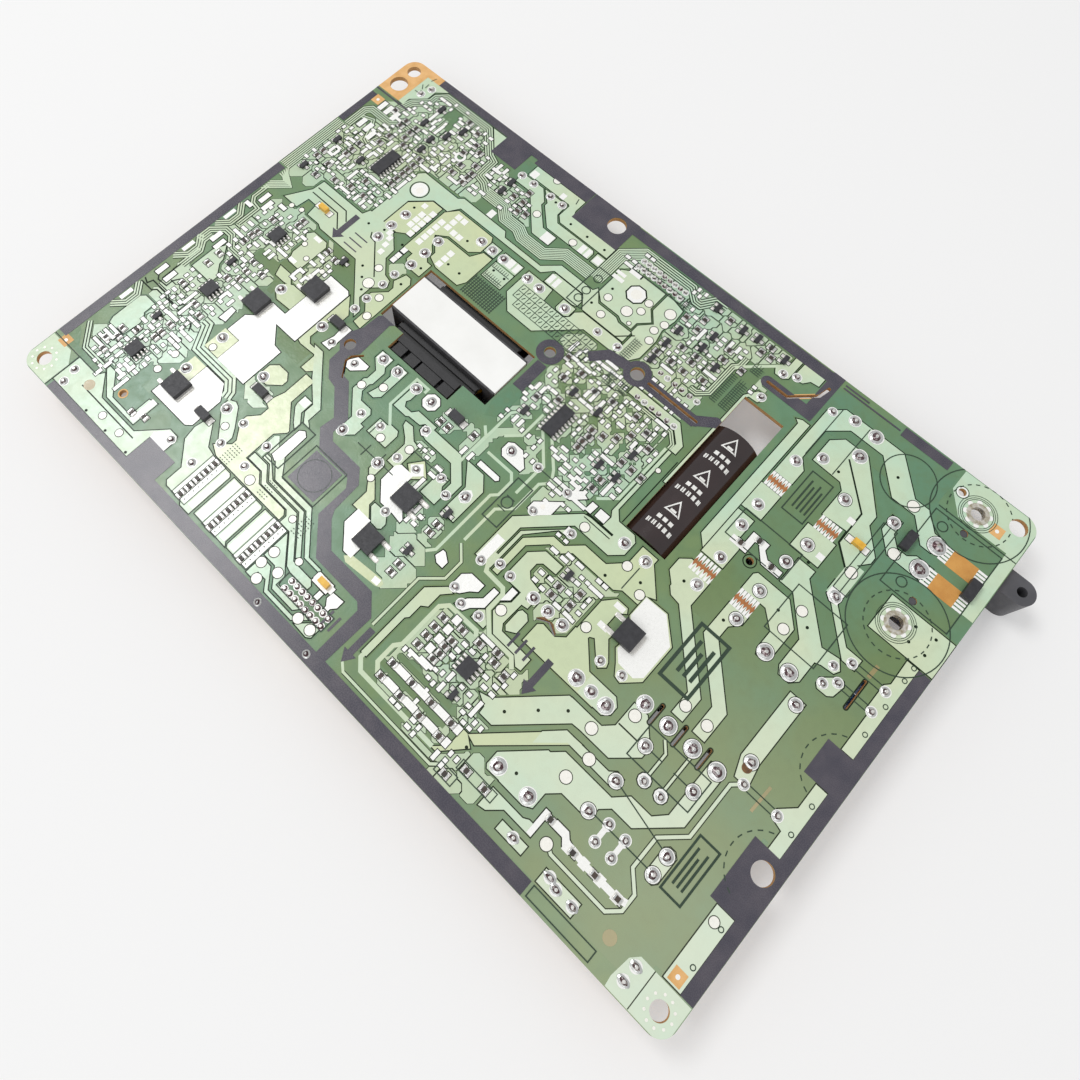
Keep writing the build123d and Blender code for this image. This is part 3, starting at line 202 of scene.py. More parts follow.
class Finish:
    """A node material, built up one socket at a time."""

    def __init__(self, name):
        self.material = bpy.data.materials.new(name)
        self.material.use_nodes = True
        self.tree = self.material.node_tree
        self.shader = self.tree.nodes["Principled BSDF"]
        coordinates = self.tree.nodes.new("ShaderNodeTexCoord")
        self.where = coordinates.outputs["Object"]

    def node(self, kind, **values):
        """A new node with its settings."""
        made = self.tree.nodes.new(kind)
        for key, value in values.items():
            setattr(made, key, value)
        return made

    def link(self, source, target):
        """A connection from an output to an input."""
        self.tree.links.new(source, target)

    def set(self, name, value):
        """One input of the shader."""
        self.shader.inputs[name].default_value = value

    def noise(self, scale, detail=4.0, stretch=None):
        """Noise with `scale` features in a millimetre."""
        made = self.node("ShaderNodeTexNoise")
        made.inputs["Scale"].default_value = scale / MM
        made.inputs["Detail"].default_value = detail
        made.inputs["Roughness"].default_value = 0.55
        if stretch:
            mapping = self.node("ShaderNodeMapping")
            mapping.inputs["Scale"].default_value = stretch
            self.link(self.where, mapping.inputs["Vector"])
            self.link(mapping.outputs["Vector"], made.inputs["Vector"])
        else:
            self.link(self.where, made.inputs["Vector"])
        return made.outputs["Fac"]

    def mix(self, factor, first, second):
        """One colour over another; each may be a colour or a socket."""
        made = self.node("ShaderNodeMix", data_type="RGBA")
        for socket, value in ((made.inputs[0], factor), (made.inputs[6], first),
                              (made.inputs[7], second)):
            if isinstance(value, bpy.types.NodeSocket):
                self.link(value, socket)
            else:
                socket.default_value = value
        return made.outputs[2]

    def math(self, operation, first, second):
        """A calculation on two numbers or sockets."""
        made = self.node("ShaderNodeMath", operation=operation)
        for socket, value in zip(made.inputs, (first, second)):
            if isinstance(value, bpy.types.NodeSocket):
                self.link(value, socket)
            else:
                socket.default_value = value
        return made.outputs["Value"]

    def spread(self, source, low, high, first, last):
        """A value moved from first..last to low..high."""
        made = self.node("ShaderNodeMapRange")
        made.inputs["From Min"].default_value = first
        made.inputs["From Max"].default_value = last
        made.inputs["To Min"].default_value = low
        made.inputs["To Max"].default_value = high
        self.link(source, made.inputs["Value"])
        return made.outputs["Result"]

    def bump(self, source, height):
        """Relief of `height` millimetres."""
        made = self.node("ShaderNodeBump")
        made.inputs["Strength"].default_value = 1.0
        made.inputs["Distance"].default_value = height * MM
        self.link(source, made.inputs["Height"])
        self.link(made.outputs["Normal"], self.shader.inputs["Normal"])

    def nearness(self, centre, near, far):
        """1 within `near` metres of a place, falling to 0 at `far`."""
        made = self.node("ShaderNodeVectorMath", operation="DISTANCE")
        self.link(self.where, made.inputs[0])
        made.inputs[1].default_value = centre
        return self.spread(made.outputs["Value"], 1.0, 0.0, near, far)

    def painted_sheen(self, colour, share, sheen_tone):
        """A colour mixed towards a pale tone at the near corner of the board: painted sheen."""
        near = self.nearness(SHEEN_CORNER, *SHEEN_REACH)
        return self.mix(self.math("MULTIPLY", near, share), colour, srgb(*sheen_tone))

    def axis(self, name):
        """One of the place's coordinates, in metres."""
        made = self.node("ShaderNodeSeparateXYZ")
        self.link(self.where, made.inputs["Vector"])
        return made.outputs[name]


def coated(name, colour, second, rough, grain, relief, metal=0.0, coat=0.0, span=0.12):
    """Two mottled screen colours, an uneven gloss and `relief` millimetres of relief."""
    finish = Finish(name)
    slow = finish.noise(grain)
    fine = finish.noise(3.0, detail=6.0)
    mottled = finish.mix(finish.spread(slow, 0.0, 1.0, 0.35, 0.68), srgb(*colour), srgb(*second))
    finish.link(mottled, finish.shader.inputs["Base Color"])
    gloss = finish.spread(fine, rough - span, rough + span, 0.3, 0.7)
    finish.link(gloss, finish.shader.inputs["Roughness"])
    finish.set("Metallic", metal)
    finish.set("Coat Weight", coat)
    finish.set("Coat Roughness", 0.12)
    finish.bump(fine, relief)
    return finish.material


def board_finish():
    """Green mask on the top face, tan laminate on the edges and underneath."""
    finish = Finish("board_mask_and_laminate")
    slow = finish.noise(0.035, detail=3.0)
    cloud = finish.noise(0.25, detail=5.0)
    green = finish.mix(finish.spread(slow, 0.0, 1.0, 0.38, 0.62),
                       srgb(102, 140, 108), srgb(116, 140, 94))
    green = finish.mix(finish.spread(cloud, 0.0, 0.5, 0.4, 0.7), green, srgb(90, 122, 86))
    # painted sheen towards the near corner
    green = finish.painted_sheen(green, 0.2, SHEEN_PALE)
    fibre = finish.noise(1.2, detail=6.0, stretch=(1.0, 0.25, 1.0))
    tan = finish.mix(finish.spread(fibre, 0.0, 1.0, 0.35, 0.65),
                     srgb(206, 162, 106), srgb(192, 146, 92))
    height = finish.axis("Z")
    top = finish.math("GREATER_THAN", height, board_high.z - 0.02 * MM)
    colour = finish.mix(top, tan, green)
    finish.link(colour, finish.shader.inputs["Base Color"])
    gloss = finish.spread(cloud, 0.22, 0.36, 0.3, 0.7)
    rough = finish.mix(top, (0.6, 0.6, 0.6, 1.0), gloss)
    finish.link(rough, finish.shader.inputs["Roughness"])
    finish.bump(finish.noise(1.5, detail=4.0), 0.02)
    finish.set("Specular IOR Level", 0.5)
    return finish.material


def mask_finish(name, light, dark, specular=0.68, pale=0.24, sheen_tone=SHEEN_PALE):
    """Solder mask over copper or bare laminate, with painted sheen towards the near corner."""
    finish = Finish(name)
    slow = finish.noise(0.03, detail=3.0)
    cloud = finish.noise(0.4, detail=5.0)
    colour = finish.mix(finish.spread(slow, 0.0, 1.0, 0.36, 0.64), light, dark)
    shade = tuple(value * 0.8 for value in dark[:3]) + (1.0,)
    colour = finish.mix(finish.spread(cloud, 0.0, 0.4, 0.45, 0.75), colour, shade)
    # painted sheen towards the near corner, `pale` being its share
    finish.link(finish.painted_sheen(colour, pale, sheen_tone), finish.shader.inputs["Base Color"])
    finish.link(finish.spread(cloud, 0.16, 0.3, 0.3, 0.7),
                finish.shader.inputs["Roughness"])
    finish.set("Specular IOR Level", specular)
    finish.bump(finish.noise(0.9, detail=4.0), 0.03)
    return finish.material


def solder_finish(name, rough, relief, tone=(226, 228, 226), metal=0.85, stain=0.8):
    """Bright tin with a rippled skin and small dark flux spots."""
    finish = Finish(name)
    ripple = finish.noise(1.6, detail=5.0)
    spots = finish.noise(2.8, detail=2.0)
    light = srgb(*tone)
    colour = finish.mix(finish.spread(ripple, 0.0, stain, 0.3, 0.7), light,
                        tuple(value * 0.7 for value in light[:3]) + (1.0,))
    colour = finish.mix(finish.spread(spots, 0.0, stain, 0.62, 0.74), colour,
                        srgb(120, 108, 88))
    finish.link(colour, finish.shader.inputs["Base Color"])
    finish.link(finish.spread(spots, rough - 0.08, rough + 0.2, 0.3, 0.75),
                finish.shader.inputs["Roughness"])
    finish.set("Metallic", metal)
    finish.bump(ripple, relief)
    return finish.material


def wound_finish(name, light, dark, pitch):
    """Turns of wire as a slanting wave, with `pitch` millimetres from turn to turn; the grooves
    between turns are painted dark as shade.
    """
    finish = Finish(name)
    wave = finish.node("ShaderNodeTexWave", bands_direction="DIAGONAL")
    wave.inputs["Scale"].default_value = 0.318 / (pitch * MM)    # 2 pi over the node's 20
    wave.inputs["Distortion"].default_value = 0.4
    finish.link(finish.where, wave.inputs["Vector"])
    turns = wave.outputs["Fac"]
    # painted shade and highlight: dark in the grooves between turns, light on their crowns
    colour = finish.mix(turns, dark, light)
    cloud = finish.noise(0.5)
    colour = finish.mix(finish.spread(cloud, 0.0, 0.35, 0.4, 0.7), colour, dark)
    finish.link(colour, finish.shader.inputs["Base Color"])
    finish.set("Metallic", 0.6)
    finish.set("Roughness", 0.3)
    finish.bump(turns, 0.25)
    return finish.material


# finishes of coated(): colour, second colour, roughness, grain, relief and the rest
COATED = {
    "chip_black": ((52, 52, 56), (38, 38, 42), 0.5, 0.6, 0.02),
    "chip_ceramic": ((74, 62, 52), (46, 44, 44), 0.45, 0.16, 0.01),
    "tantalum_yellow": ((238, 190, 70), (214, 160, 48), 0.4, 0.5, 0.01),
    "ferrite": ((74, 74, 76), (54, 53, 55), 0.6, 0.5, 0.05),
    "bobbin_black": ((34, 34, 36), (24, 24, 26), 0.42, 0.3, 0.02),
    "tape_white": ((246, 246, 243), (236, 236, 232), 0.38, 0.05, 0.008),
    "tape_yellow": ((226, 178, 40), (206, 156, 30), 0.35, 0.1, 0.01),
    "sleeve_brown": ((50, 36, 36), (40, 29, 29), 0.22, 0.1, 0.006, 0.0, 0.35, 0.05),
    "sleeve_black": ((34, 34, 38), (26, 26, 30), 0.24, 0.1, 0.006, 0.0, 0.4, 0.05),
    "can_aluminium": ((214, 214, 216), (196, 196, 198), 0.32, 0.3, 0.01, 1.0),
    "seal_rubber": ((40, 40, 40), (28, 28, 28), 0.7, 0.6, 0.03),
    "sink_aluminium": ((206, 208, 210), (186, 188, 190), 0.38, 0.2, 0.015, 1.0),
    "screw_steel": ((206, 204, 196), (176, 172, 160), 0.28, 0.8, 0.01, 1.0),
    "eyelet_brass": ((232, 229, 220), (170, 160, 130), 0.3, 0.8, 0.01, 0.7),
    "film_grey": ((176, 178, 180), (160, 162, 165), 0.36, 0.1, 0.01),
    "film_red": ((150, 44, 28), (120, 32, 22), 0.28, 0.2, 0.01, 0.0, 0.4),
    "disc_blue": ((48, 108, 176), (34, 84, 148), 0.26, 0.2, 0.02, 0.0, 0.4),
    "inlet_black": ((86, 86, 90), (72, 72, 76), 0.42, 0.12, 0.015),
    "header_cream": ((236, 232, 214), (224, 218, 196), 0.4, 0.2, 0.008),
    "coupler_white": ((230, 230, 222), (214, 214, 204), 0.42, 0.3, 0.008),
    "choke_base_black": ((40, 38, 36), (28, 27, 26), 0.5, 0.4, 0.01),
    "fuse_nickel": ((212, 208, 198), (186, 180, 166), 0.24, 0.5, 0.006, 1.0),
    "resistor_green": ((82, 108, 88), (62, 88, 68), 0.55, 0.6, 0.02),
}
materials = {name: coated(name, *values) for name, values in COATED.items()}


def glass_finish():
    """Clear glass with a faint haze."""
    finish = Finish("fuse_glass")
    finish.set("Base Color", srgb(236, 242, 240))
    finish.set("Transmission Weight", 0.92)
    finish.set("Roughness", 0.06)
    finish.set("IOR", 1.47)
    cloud = finish.noise(0.4)
    finish.link(finish.spread(cloud, 0.04, 0.14, 0.3, 0.7), finish.shader.inputs["Roughness"])
    return finish.material


materials["fuse_glass"] = glass_finish()
materials["board_laminate"] = board_finish()
materials["solder"] = solder_finish("joint_solder", 0.22, 0.10)
materials["tinned_metal"] = solder_finish("tinned_metal", 0.3, 0.03, (236, 234, 228), 0.45, 0.5)
materials["copper_wire"] = wound_finish("copper_turns", srgb(214, 124, 66), srgb(110, 52, 24), 0.7)
for part in frame["record"]["subparts"]:
    cad = nodes[part["node"]]
    for slot in cad.material_slots:
        slot.material = materials[part["material_slot"]]

layer_materials = {
    # the copper's mask takes the strongest painted sheen
    "copper": mask_finish("mask_over_copper", srgb(190, 218, 192), srgb(206, 218, 184),
                          specular=0.58, pale=0.5, sheen_tone=(230, 238, 222)),
    "fine_copper": mask_finish("mask_over_fine_copper", srgb(178, 208, 182),
                               srgb(192, 206, 170)),
    "warm": mask_finish("mask_over_warm_copper", srgb(208, 216, 170), srgb(200, 214, 174)),
    "bare": mask_finish("mask_over_laminate", srgb(100, 138, 109), srgb(112, 134, 90),
                        specular=0.35),
    # painted shade: this near-black green of narrow gaps, rims, rings and pits stands for the shade
    # in them
    "channel": mask_finish("mask_gap_painted_shade", srgb(24, 38, 28), srgb(28, 40, 24), specular=0.1,
                           pale=0.05),
    "masked": mask_finish("mask_over_opening", srgb(172, 150, 106), srgb(150, 138, 92)),
    "tin": solder_finish("tinned_copper", 0.3, 0.04, (250, 250, 246), 0.1, 0.2),
    "point": solder_finish("test_points", 0.35, 0.04, (249, 247, 238), 0.1, 0.25),
}
for layer, name, *values in (
        ("laminate", "open_laminate", (232, 184, 122), (214, 162, 94), 0.5, 0.3, 0.02),
        ("amber", "amber_laminate", (212, 156, 80), (196, 138, 66), 0.35, 0.3, 0.02),
        ("print", "dark_print", (70, 68, 78), (84, 80, 88), 0.27, 0.2, 0.01),
        ("silk", "thin_print", (34, 56, 40), (44, 66, 48), 0.5, 0.4, 0.01),
        ("white_print", "white_print", (238, 238, 234), (226, 226, 220), 0.5, 0.4, 0.01),
        ("rust", "browned_laminate", (182, 118, 66), (158, 98, 52), 0.4, 0.6, 0.02),
        ("flux", "burnt_flux", (132, 96, 58), (92, 66, 44), 0.3, 0.9, 0.02)):
    layer_materials[layer] = coated(name, *values)

# ------------------------------------------------------------ flat shapes on the board
LEVELS = ["gap", "auto", "bare", "rim", "warm", "copper", "channel", "masked", "laminate",
          "amber", "tin", "point", "print", "silk", "rust", "flux"]
LEVEL_STEP = 0.007            # millimetres between two levels
SHAPE_STEP = 0.0004           # between shapes of one level that overlap
SHAPE_STEPS = 16
SORT_SIZE = 6.0               # millimetres; shapes are sorted into squares of this size
RIM = 0.62                    # the dark line of painted shade that follows an edge of copper, half of it seen
HALO = 1.3                    # the bare line outside it, half of it seen
PAD_EDGE = 0.22               # the dark line of painted shade round a small tinned pad
MITRE_LIMIT = 0.4             # sharper corners of a line are cut short
layers = {}


def area(layer, *points):
    """One closed outline on a layer."""
    layers.setdefault(layer, []).append(list(points))


def corners(x0, y0, x1, y1):
    """The corners of an upright rectangle."""
    return [(x0, y0), (x1, y0), (x1, y1), (x0, y1)]


def rect(layer, *box):
    """An upright rectangle: x0, y0, x1, y1."""
    area(layer, *corners(*box))


def rects(layer, *boxes):
    """Several upright rectangles."""
    for box in boxes:
        rect(layer, *box)


def regular(x, y, radius, sides, turn=0.0):
    """The corners of a regular outline."""
    step = 2 * math.pi / sides
    return [(x + radius * math.cos(turn + step * k), y + radius * math.sin(turn + step * k))
            for k in range(sides)]


def disc(layer, x, y, radius, sides=18):
    """A filled round shape."""
    area(layer, *regular(x, y, radius, sides))


def round_about(x, y, radius, count, turn, layer, size, sides=18):
    """Small discs evenly round a centre."""
    for a, b in regular(x, y, radius, count, turn):
        disc(layer, a, b, size, sides)


def ring(layer, x, y, radius, width, sides=36, first=0.0, last=360.0, step=1):
    """A band round a centre, whole or in part; a step of 2 leaves out every second piece."""
    for k in range(0, sides, step):
        a = math.radians(first + (last - first) * k / sides)
        b = math.radians(first + (last - first) * (k + 1) / sides)
        inner = radius - width / 2
        outer = radius + width / 2
        area(layer, (x + inner * math.cos(a), y + inner * math.sin(a)),
             (x + outer * math.cos(a), y + outer * math.sin(a)),
             (x + outer * math.cos(b), y + outer * math.sin(b)),
             (x + inner * math.cos(b), y + inner * math.sin(b)))


def sides_of(points, width, closed=False):
    """The two edges of a line of some width, with mitred corners."""
    left, right = [], []
    count = len(points)
    for k, (x, y) in enumerate(points):
        before = points[(k - 1) % count] if closed or k > 0 else None
        after = points[(k + 1) % count] if closed or k < count - 1 else None
        ways = []
        for first, second in ((before, (x, y)), ((x, y), after)):
            if first is None or second is None:
                continue
            dx, dy = second[0] - first[0], second[1] - first[1]
            size = math.hypot(dx, dy) or 1.0
            ways.append((-dy / size, dx / size))
        if len(ways) == 1:
            nx, ny = ways[0]
            scale = 1.0
        else:
            nx, ny = ways[0][0] + ways[1][0], ways[0][1] + ways[1][1]
            size = math.hypot(nx, ny) or 1.0
            nx, ny = nx / size, ny / size
            scale = 1.0 / max(MITRE_LIMIT, nx * ways[0][0] + ny * ways[0][1])
        half = width / 2 * scale
        left.append((x + nx * half, y + ny * half))
        right.append((x - nx * half, y - ny * half))
    return left, right


def stroke(layer, width, *points, closed=False):
    """A line of some width through the points."""
    left, right = sides_of(points, width, closed)
    count = len(points)
    for k in range(count if closed else count - 1):
        n = (k + 1) % count
        area(layer, left[k], right[k], right[n], left[n])


def lines(layer, width, *paths):
    """Several lines of one width."""
    for path in paths:
        stroke(layer, width, *path)


def hatch(x0, y0, x1, y1):
    """Thin print in close rows and columns, as dense as small lettering, but saying nothing."""
    for k in range(int((y1 - y0) / 0.75)):
        stroke("silk", 0.26, (x0, y0 + 0.75 * k), (x1, y0 + 0.75 * k))
    for k in range(int((x1 - x0) / 0.8)):
        stroke("silk", 0.16, (x0 + 0.8 * k, y0), (x0 + 0.8 * k, y1))


def frame_box(layer, width, *box):
    """A rectangle drawn as a line."""
    stroke(layer, width, *corners(*box), closed=True)


def bundle(width, pitch, count, *points):
    """Tracks side by side that follow one path, with gaps painted dark as shade between them."""
    stroke("rim", count * pitch + 0.3, *points)
    for k in range(count):
        shift = 2 * pitch * (k - (count - 1) / 2)
        if abs(shift) < 1e-6:
            stroke("copper", width, *points)
            continue
        left, right = sides_of(points, abs(shift))
        stroke("copper", width, *(left if shift > 0 else right))


def islets(*outlines):
    """Tinned patches with a dark edge of painted shade."""
    for outline in outlines:
        stroke("rim", RIM, *outline, closed=True)
        area("tin", *outline)


def blocks(width, length, *centres):
    """Tinned pads of one size, each with a dark edge of painted shade."""
    for x, y in centres:
        a, b = width / 2, length / 2
        frame_box("rim", RIM, x - a, y - b, x + a, y + b)
        rect("tin", x - a, y - b, x + a, y + b)


def dots(layer, radius, *centres):
    """Several filled round shapes of one size."""
    for x, y in centres:
        disc(layer, x, y, radius)


def pads(radius, *centres):
    """Round test points with a thin dark ring of painted shade."""
    for x, y in centres:
        disc("point", x, y, radius)
        ring("channel", x, y, radius + 0.1, 0.24, 18)


def pits(*centres):
    """Small dark marks pressed into the copper, their darkness painted shade."""
    for x, y in centres:
        disc("channel", x, y, 0.45, 10)


def edged_pad(x, y, half_x, half_y):
    """A tinned pad on a dark ground that shows as a line of painted shade round it."""
    rect("channel", x - half_x - PAD_EDGE, y - half_y - PAD_EDGE, x + half_x + PAD_EDGE,
         y + half_y + PAD_EDGE)
    rect("tin", x - half_x, y - half_y, x + half_x, y + half_y)


def halo(points):
    """Bare board and the dark foot of the mask round a piece of copper, the dark foot being painted
    shade.
    """
    stroke("bare", HALO, *points, closed=True)
    stroke("rim", RIM, *points, closed=True)


def pour(*points):
    """A piece of copper with bare board round it."""
    halo(points)
    area("copper", *points)


def pours(*outlines):
    """Several pieces of copper, each with bare board round it."""
    for outline in outlines:
        pour(*outline)


def warm_pours(*outlines):
    """Copper under the yellower part of the mask."""
    for outline in outlines:
        halo(outline)
        area("warm", *outline)


def arrow(x, tail, head, tip):
    """A plain printed arrow that points down the drawing."""
    rect("print", x - 0.95, head, x + 0.95, tail)
    area("print", (x - 2.1, head + 0.1), (x + 2.1, head + 0.1), (x, tip))


# ------------------------------------------------------------ artwork, region by region
def edges_and_corners():
    """Dark print bands round the edge, the bare corners and the tan squares."""
    rects("print", (14.8, 157, 60, 160), (46.5, 149, 57.2, 160), (60, 155.3, 82.3, 160),
          (82.5, 148, 100.6, 160), (100.6, 156, 177, 159.6), (0.1, 124.5, 2.6, 140),
          (0.1, 13.5, 3.4, 98.4), (13, 0.1, 47, 2.7), (47, 0.1, 58, 11), (58, 0.1, 198, 4),
          (236.4, 10.3, 239.9, 105.5), (229.3, 66.3, 239.9, 76.5), (229.3, 30, 239.9, 47),
          (197.7, 156.4, 212.8, 159.5))
    area("laminate", (0, 143), (9.5, 143), (9.5, 157), (6.5, 160), (0, 160))
    area("laminate", (9.5, 157), (14.8, 157), (14.8, 160), (6.5, 160))
    rect("print", 0, 141.9, 14.8, 142.5)
    for x, y in ((4.3, 138.6), (4.6, 12.7), (233.9, 12.6), (231.7, 150.6)):
        rect("laminate", x - 1.7, y - 1.7, x + 1.7, y + 1.7)
        disc("tin", x, y, 0.55)
    area("copper", (0.2, 0.2), (11.8, 0.2), (11.8, 8.5), (8.5, 11.7), (0.2, 11.7))
    area("copper", (223.3, 0.2), (239.8, 0.2), (239.8, 10), (225.6, 10), (223.8, 8), (223, 2.6))
    area("copper", (216.7, 159.8), (216.7, 153), (222, 147), (239.8, 147), (239.8, 159.8))
    stroke("channel", 0.26, (229.7, 0.3), (229.7, 10))
    round_about(5.0, 4.9, 3.6, 10, 0.0, "point", 0.36)
    round_about(235.0, 4.9, 3.4, 10, 0.0, "point", 0.36)
    dots("masked", 1.7, (21.5, 8.8), (218.2, 7.9))
    ring("laminate", 30.7, 13.8, 1.3, 0.4)


def slot_rims():
    """The dark rim of each narrow slot: painted shade inside it."""
    for (x0, y0, x1, y1), loop in openings:
        if min(x1 - x0, y1 - y0) < SLOT_WIDTH and max(x1 - x0, y1 - y0) < SLOT_LENGTH:
            stroke("channel", 0.7, *loop, closed=True)


def isolation():
    """The dark printed band between the mains side and the output side."""
    area("print", (66.3, 83.4), (64.8, 81.7), (64.4, 75.7), (62.8, 72.6), (62.8, 68), (64.9, 66),
         (65.1, 61.8), (69.4, 57.6), (72.6, 57), (79.6, 50.4), (79, 45.8), (84, 40.9),
         (95.6, 40.9), (97.5, 38.6), (97.5, 28.6), (106.1, 20), (122.3, 19.8), (124, 18.3),
         (124.1, 3.9), (127.5, 3.9), (128, 19.4), (123.1, 24.2), (107.5, 24.2), (101.2, 30),
         (99.8, 32.4), (99.4, 41.6), (95.8, 45.3), (84.7, 45.4), (82.7, 47.3), (82.9, 52.8),
         (74.3, 61), (71.8, 61.2), (69.1, 63.7), (68.3, 66.4), (70.2, 69.2), (69.6, 81.6),
         (71.2, 83.2))
    stroke("print", 3.3, (118.6, 114.6), (122.5, 119.2), (129.5, 120.2))
    ring("print", 132.5, 120.2, 3.2, 2.0)
    rect("print", 135.5, 117.9, 154, 121.6)
    stroke("print", 3.3, (153.5, 120), (158, 123.5))
    ring("print", 109.6, 108.0, 3.0, 2.3)
    rect("print", 161, 142.2, 177, 146)
    for x, y, radius in ((161, 144.1, 1.9), (158.2, 123.6, 1.75), (153.6, 120, 1.75)):
        disc("print", x, y, radius)
    rect("print", 173.2, 142.2, 177, 160)
    stroke("laminate", 1.5, (161.2, 144.1), (168, 144.1), (174.4, 150.6), (175.2, 154.4))
    stroke("laminate", 2.6, (137, 120), (154, 120))
    ring("channel", 189.0, 98.5, 1.8, 0.3)
    rects("print", (178, 158.4, 186, 158.9), (178, 157.3, 197, 157.8))


def top_left():
    """Small copper, track bundles and rows of tin above the inlet."""
    pours([(9.5, 143), (11.6, 143), (11.6, 146), (16, 150.4), (16, 154), (19.4, 157), (9.5, 159.8)],
          [(40.8, 156.6), (46.5, 156.6), (46.5, 150.8)],
          [(36, 104), (36, 126.5), (37.5, 128.2), (52, 128.2), (53.5, 129.6), (71.3, 129.6),
           (72.8, 127.8), (87.6, 127.8), (92.3, 132.4), (104.8, 132.4), (105.6, 134),
           (109, 130.1), (116, 130.1), (117.5, 129.2), (122.5, 129.2), (122.5, 125.2),
           (107, 125.2), (103.6, 129.5), (92, 129.5), (89.2, 126.2), (55.3, 126.2),
           (53, 122.5), (47, 122.5), (41.2, 116.8), (41.2, 104)],
          [(61.7, 150.9), (61.7, 155.1), (82, 155.1), (82, 150.4), (83, 148), (100.4, 148),
           (100.4, 143.9), (81.4, 143.9), (79.4, 145.8), (79.4, 150.5), (78.8, 150.9)])
    bundle(0.45, 0.75, 4, (11.3, 137), (13.5, 145.5), (18, 150), (18, 152.6), (20.4, 155.2),
           (39.6, 155.2), (47.4, 147.5), (50, 146.4), (50.3, 139.5), (53.8, 138.6), (56.6, 136.4))
    bundle(0.45, 0.72, 6, (2.4, 99), (2.4, 124))
    bundle(0.45, 0.75, 4, (4.4, 124.5), (4.4, 132.6), (5.8, 134.4), (14, 134.4), (17, 137.4),
           (25, 137.4))
    bundle(0.45, 0.75, 2, (5.4, 130), (9.5, 131.5), (11.5, 128.5), (13.4, 124.2), (15.2, 123.6),
           (16.5, 129), (20, 129.8))
    rects("bare", (25.2, 148.2, 30, 153.6), (28.6, 145, 31, 149), (57, 130.4, 62.2, 133.8),
          (57.4, 146, 61.6, 155), (47, 147, 57, 149))
    blocks(1.8, 3.9, (7.4, 137.9), (10.2, 137.9), (13.6, 137.6), (7.5, 128.3), (10.6, 128.3),
           (13.6, 126.6))
    blocks(2.6, 1.2, (53, 144.6), (53, 141.3), (47.2, 141.6), (47.6, 135.2), (38, 131.2))
    ring("channel", 40.8, 122.3, 3.05, 0.4)
    disc("tin", 40.8, 122.3, 2.7)
    disc("point", 41.1, 122.1, 1.2)
    ring("tin", 41, 140.5, 1.5, 0.9, 24)
    warm_pours([(41.6, 106), (41.6, 116.4), (47.2, 122), (51.3, 122), (51.3, 109), (47, 106)],
               [(52.7, 104), (52.7, 121.6), (55.6, 125.2), (70, 125.2), (71, 123.6),
                (71, 118.8), (68.2, 116.2), (60, 116.2), (56.4, 113.6), (58.6, 110),
                (60.4, 108.4), (60.4, 104)],
               [(57.2, 113.4), (60.2, 115.2), (69.8, 115.2), (72, 119.2), (75.4, 119.2),
                (75.4, 108), (74, 105.4), (65, 105.4), (61.2, 107), (61.2, 109), (59.6, 110.6)])
    for row in range(5):                       # squares of tin in close rows
        y = 118.5 - 2.45 * row
        blocks(2.0, 2.0, (54.7, y - 0.2), (50.6, y))
        if row in (1, 2, 3):
            blocks(2.0, 2.0, (48.2, y))
    blocks(2.0, 2.0, (57.3, 123.3), (59.7, 123.3), (57.4, 120.8), (57.4, 118.3), (60.2, 118),
           (62.6, 118), (64.9, 112), (64.9, 109.5), (64.9, 107))
    blocks(1.8, 1.8, (46.5, 119), (44.6, 113.3), (59.6, 113))
    lines("silk", 0.28, [(12, 150), (12, 151.4)], [(12.2, 153), (12, 155)],
          [(11.6, 156.5), (12.2, 158.5)], [(10.5, 153.6), (11.8, 152)], [(10.4, 150), (13, 150)])


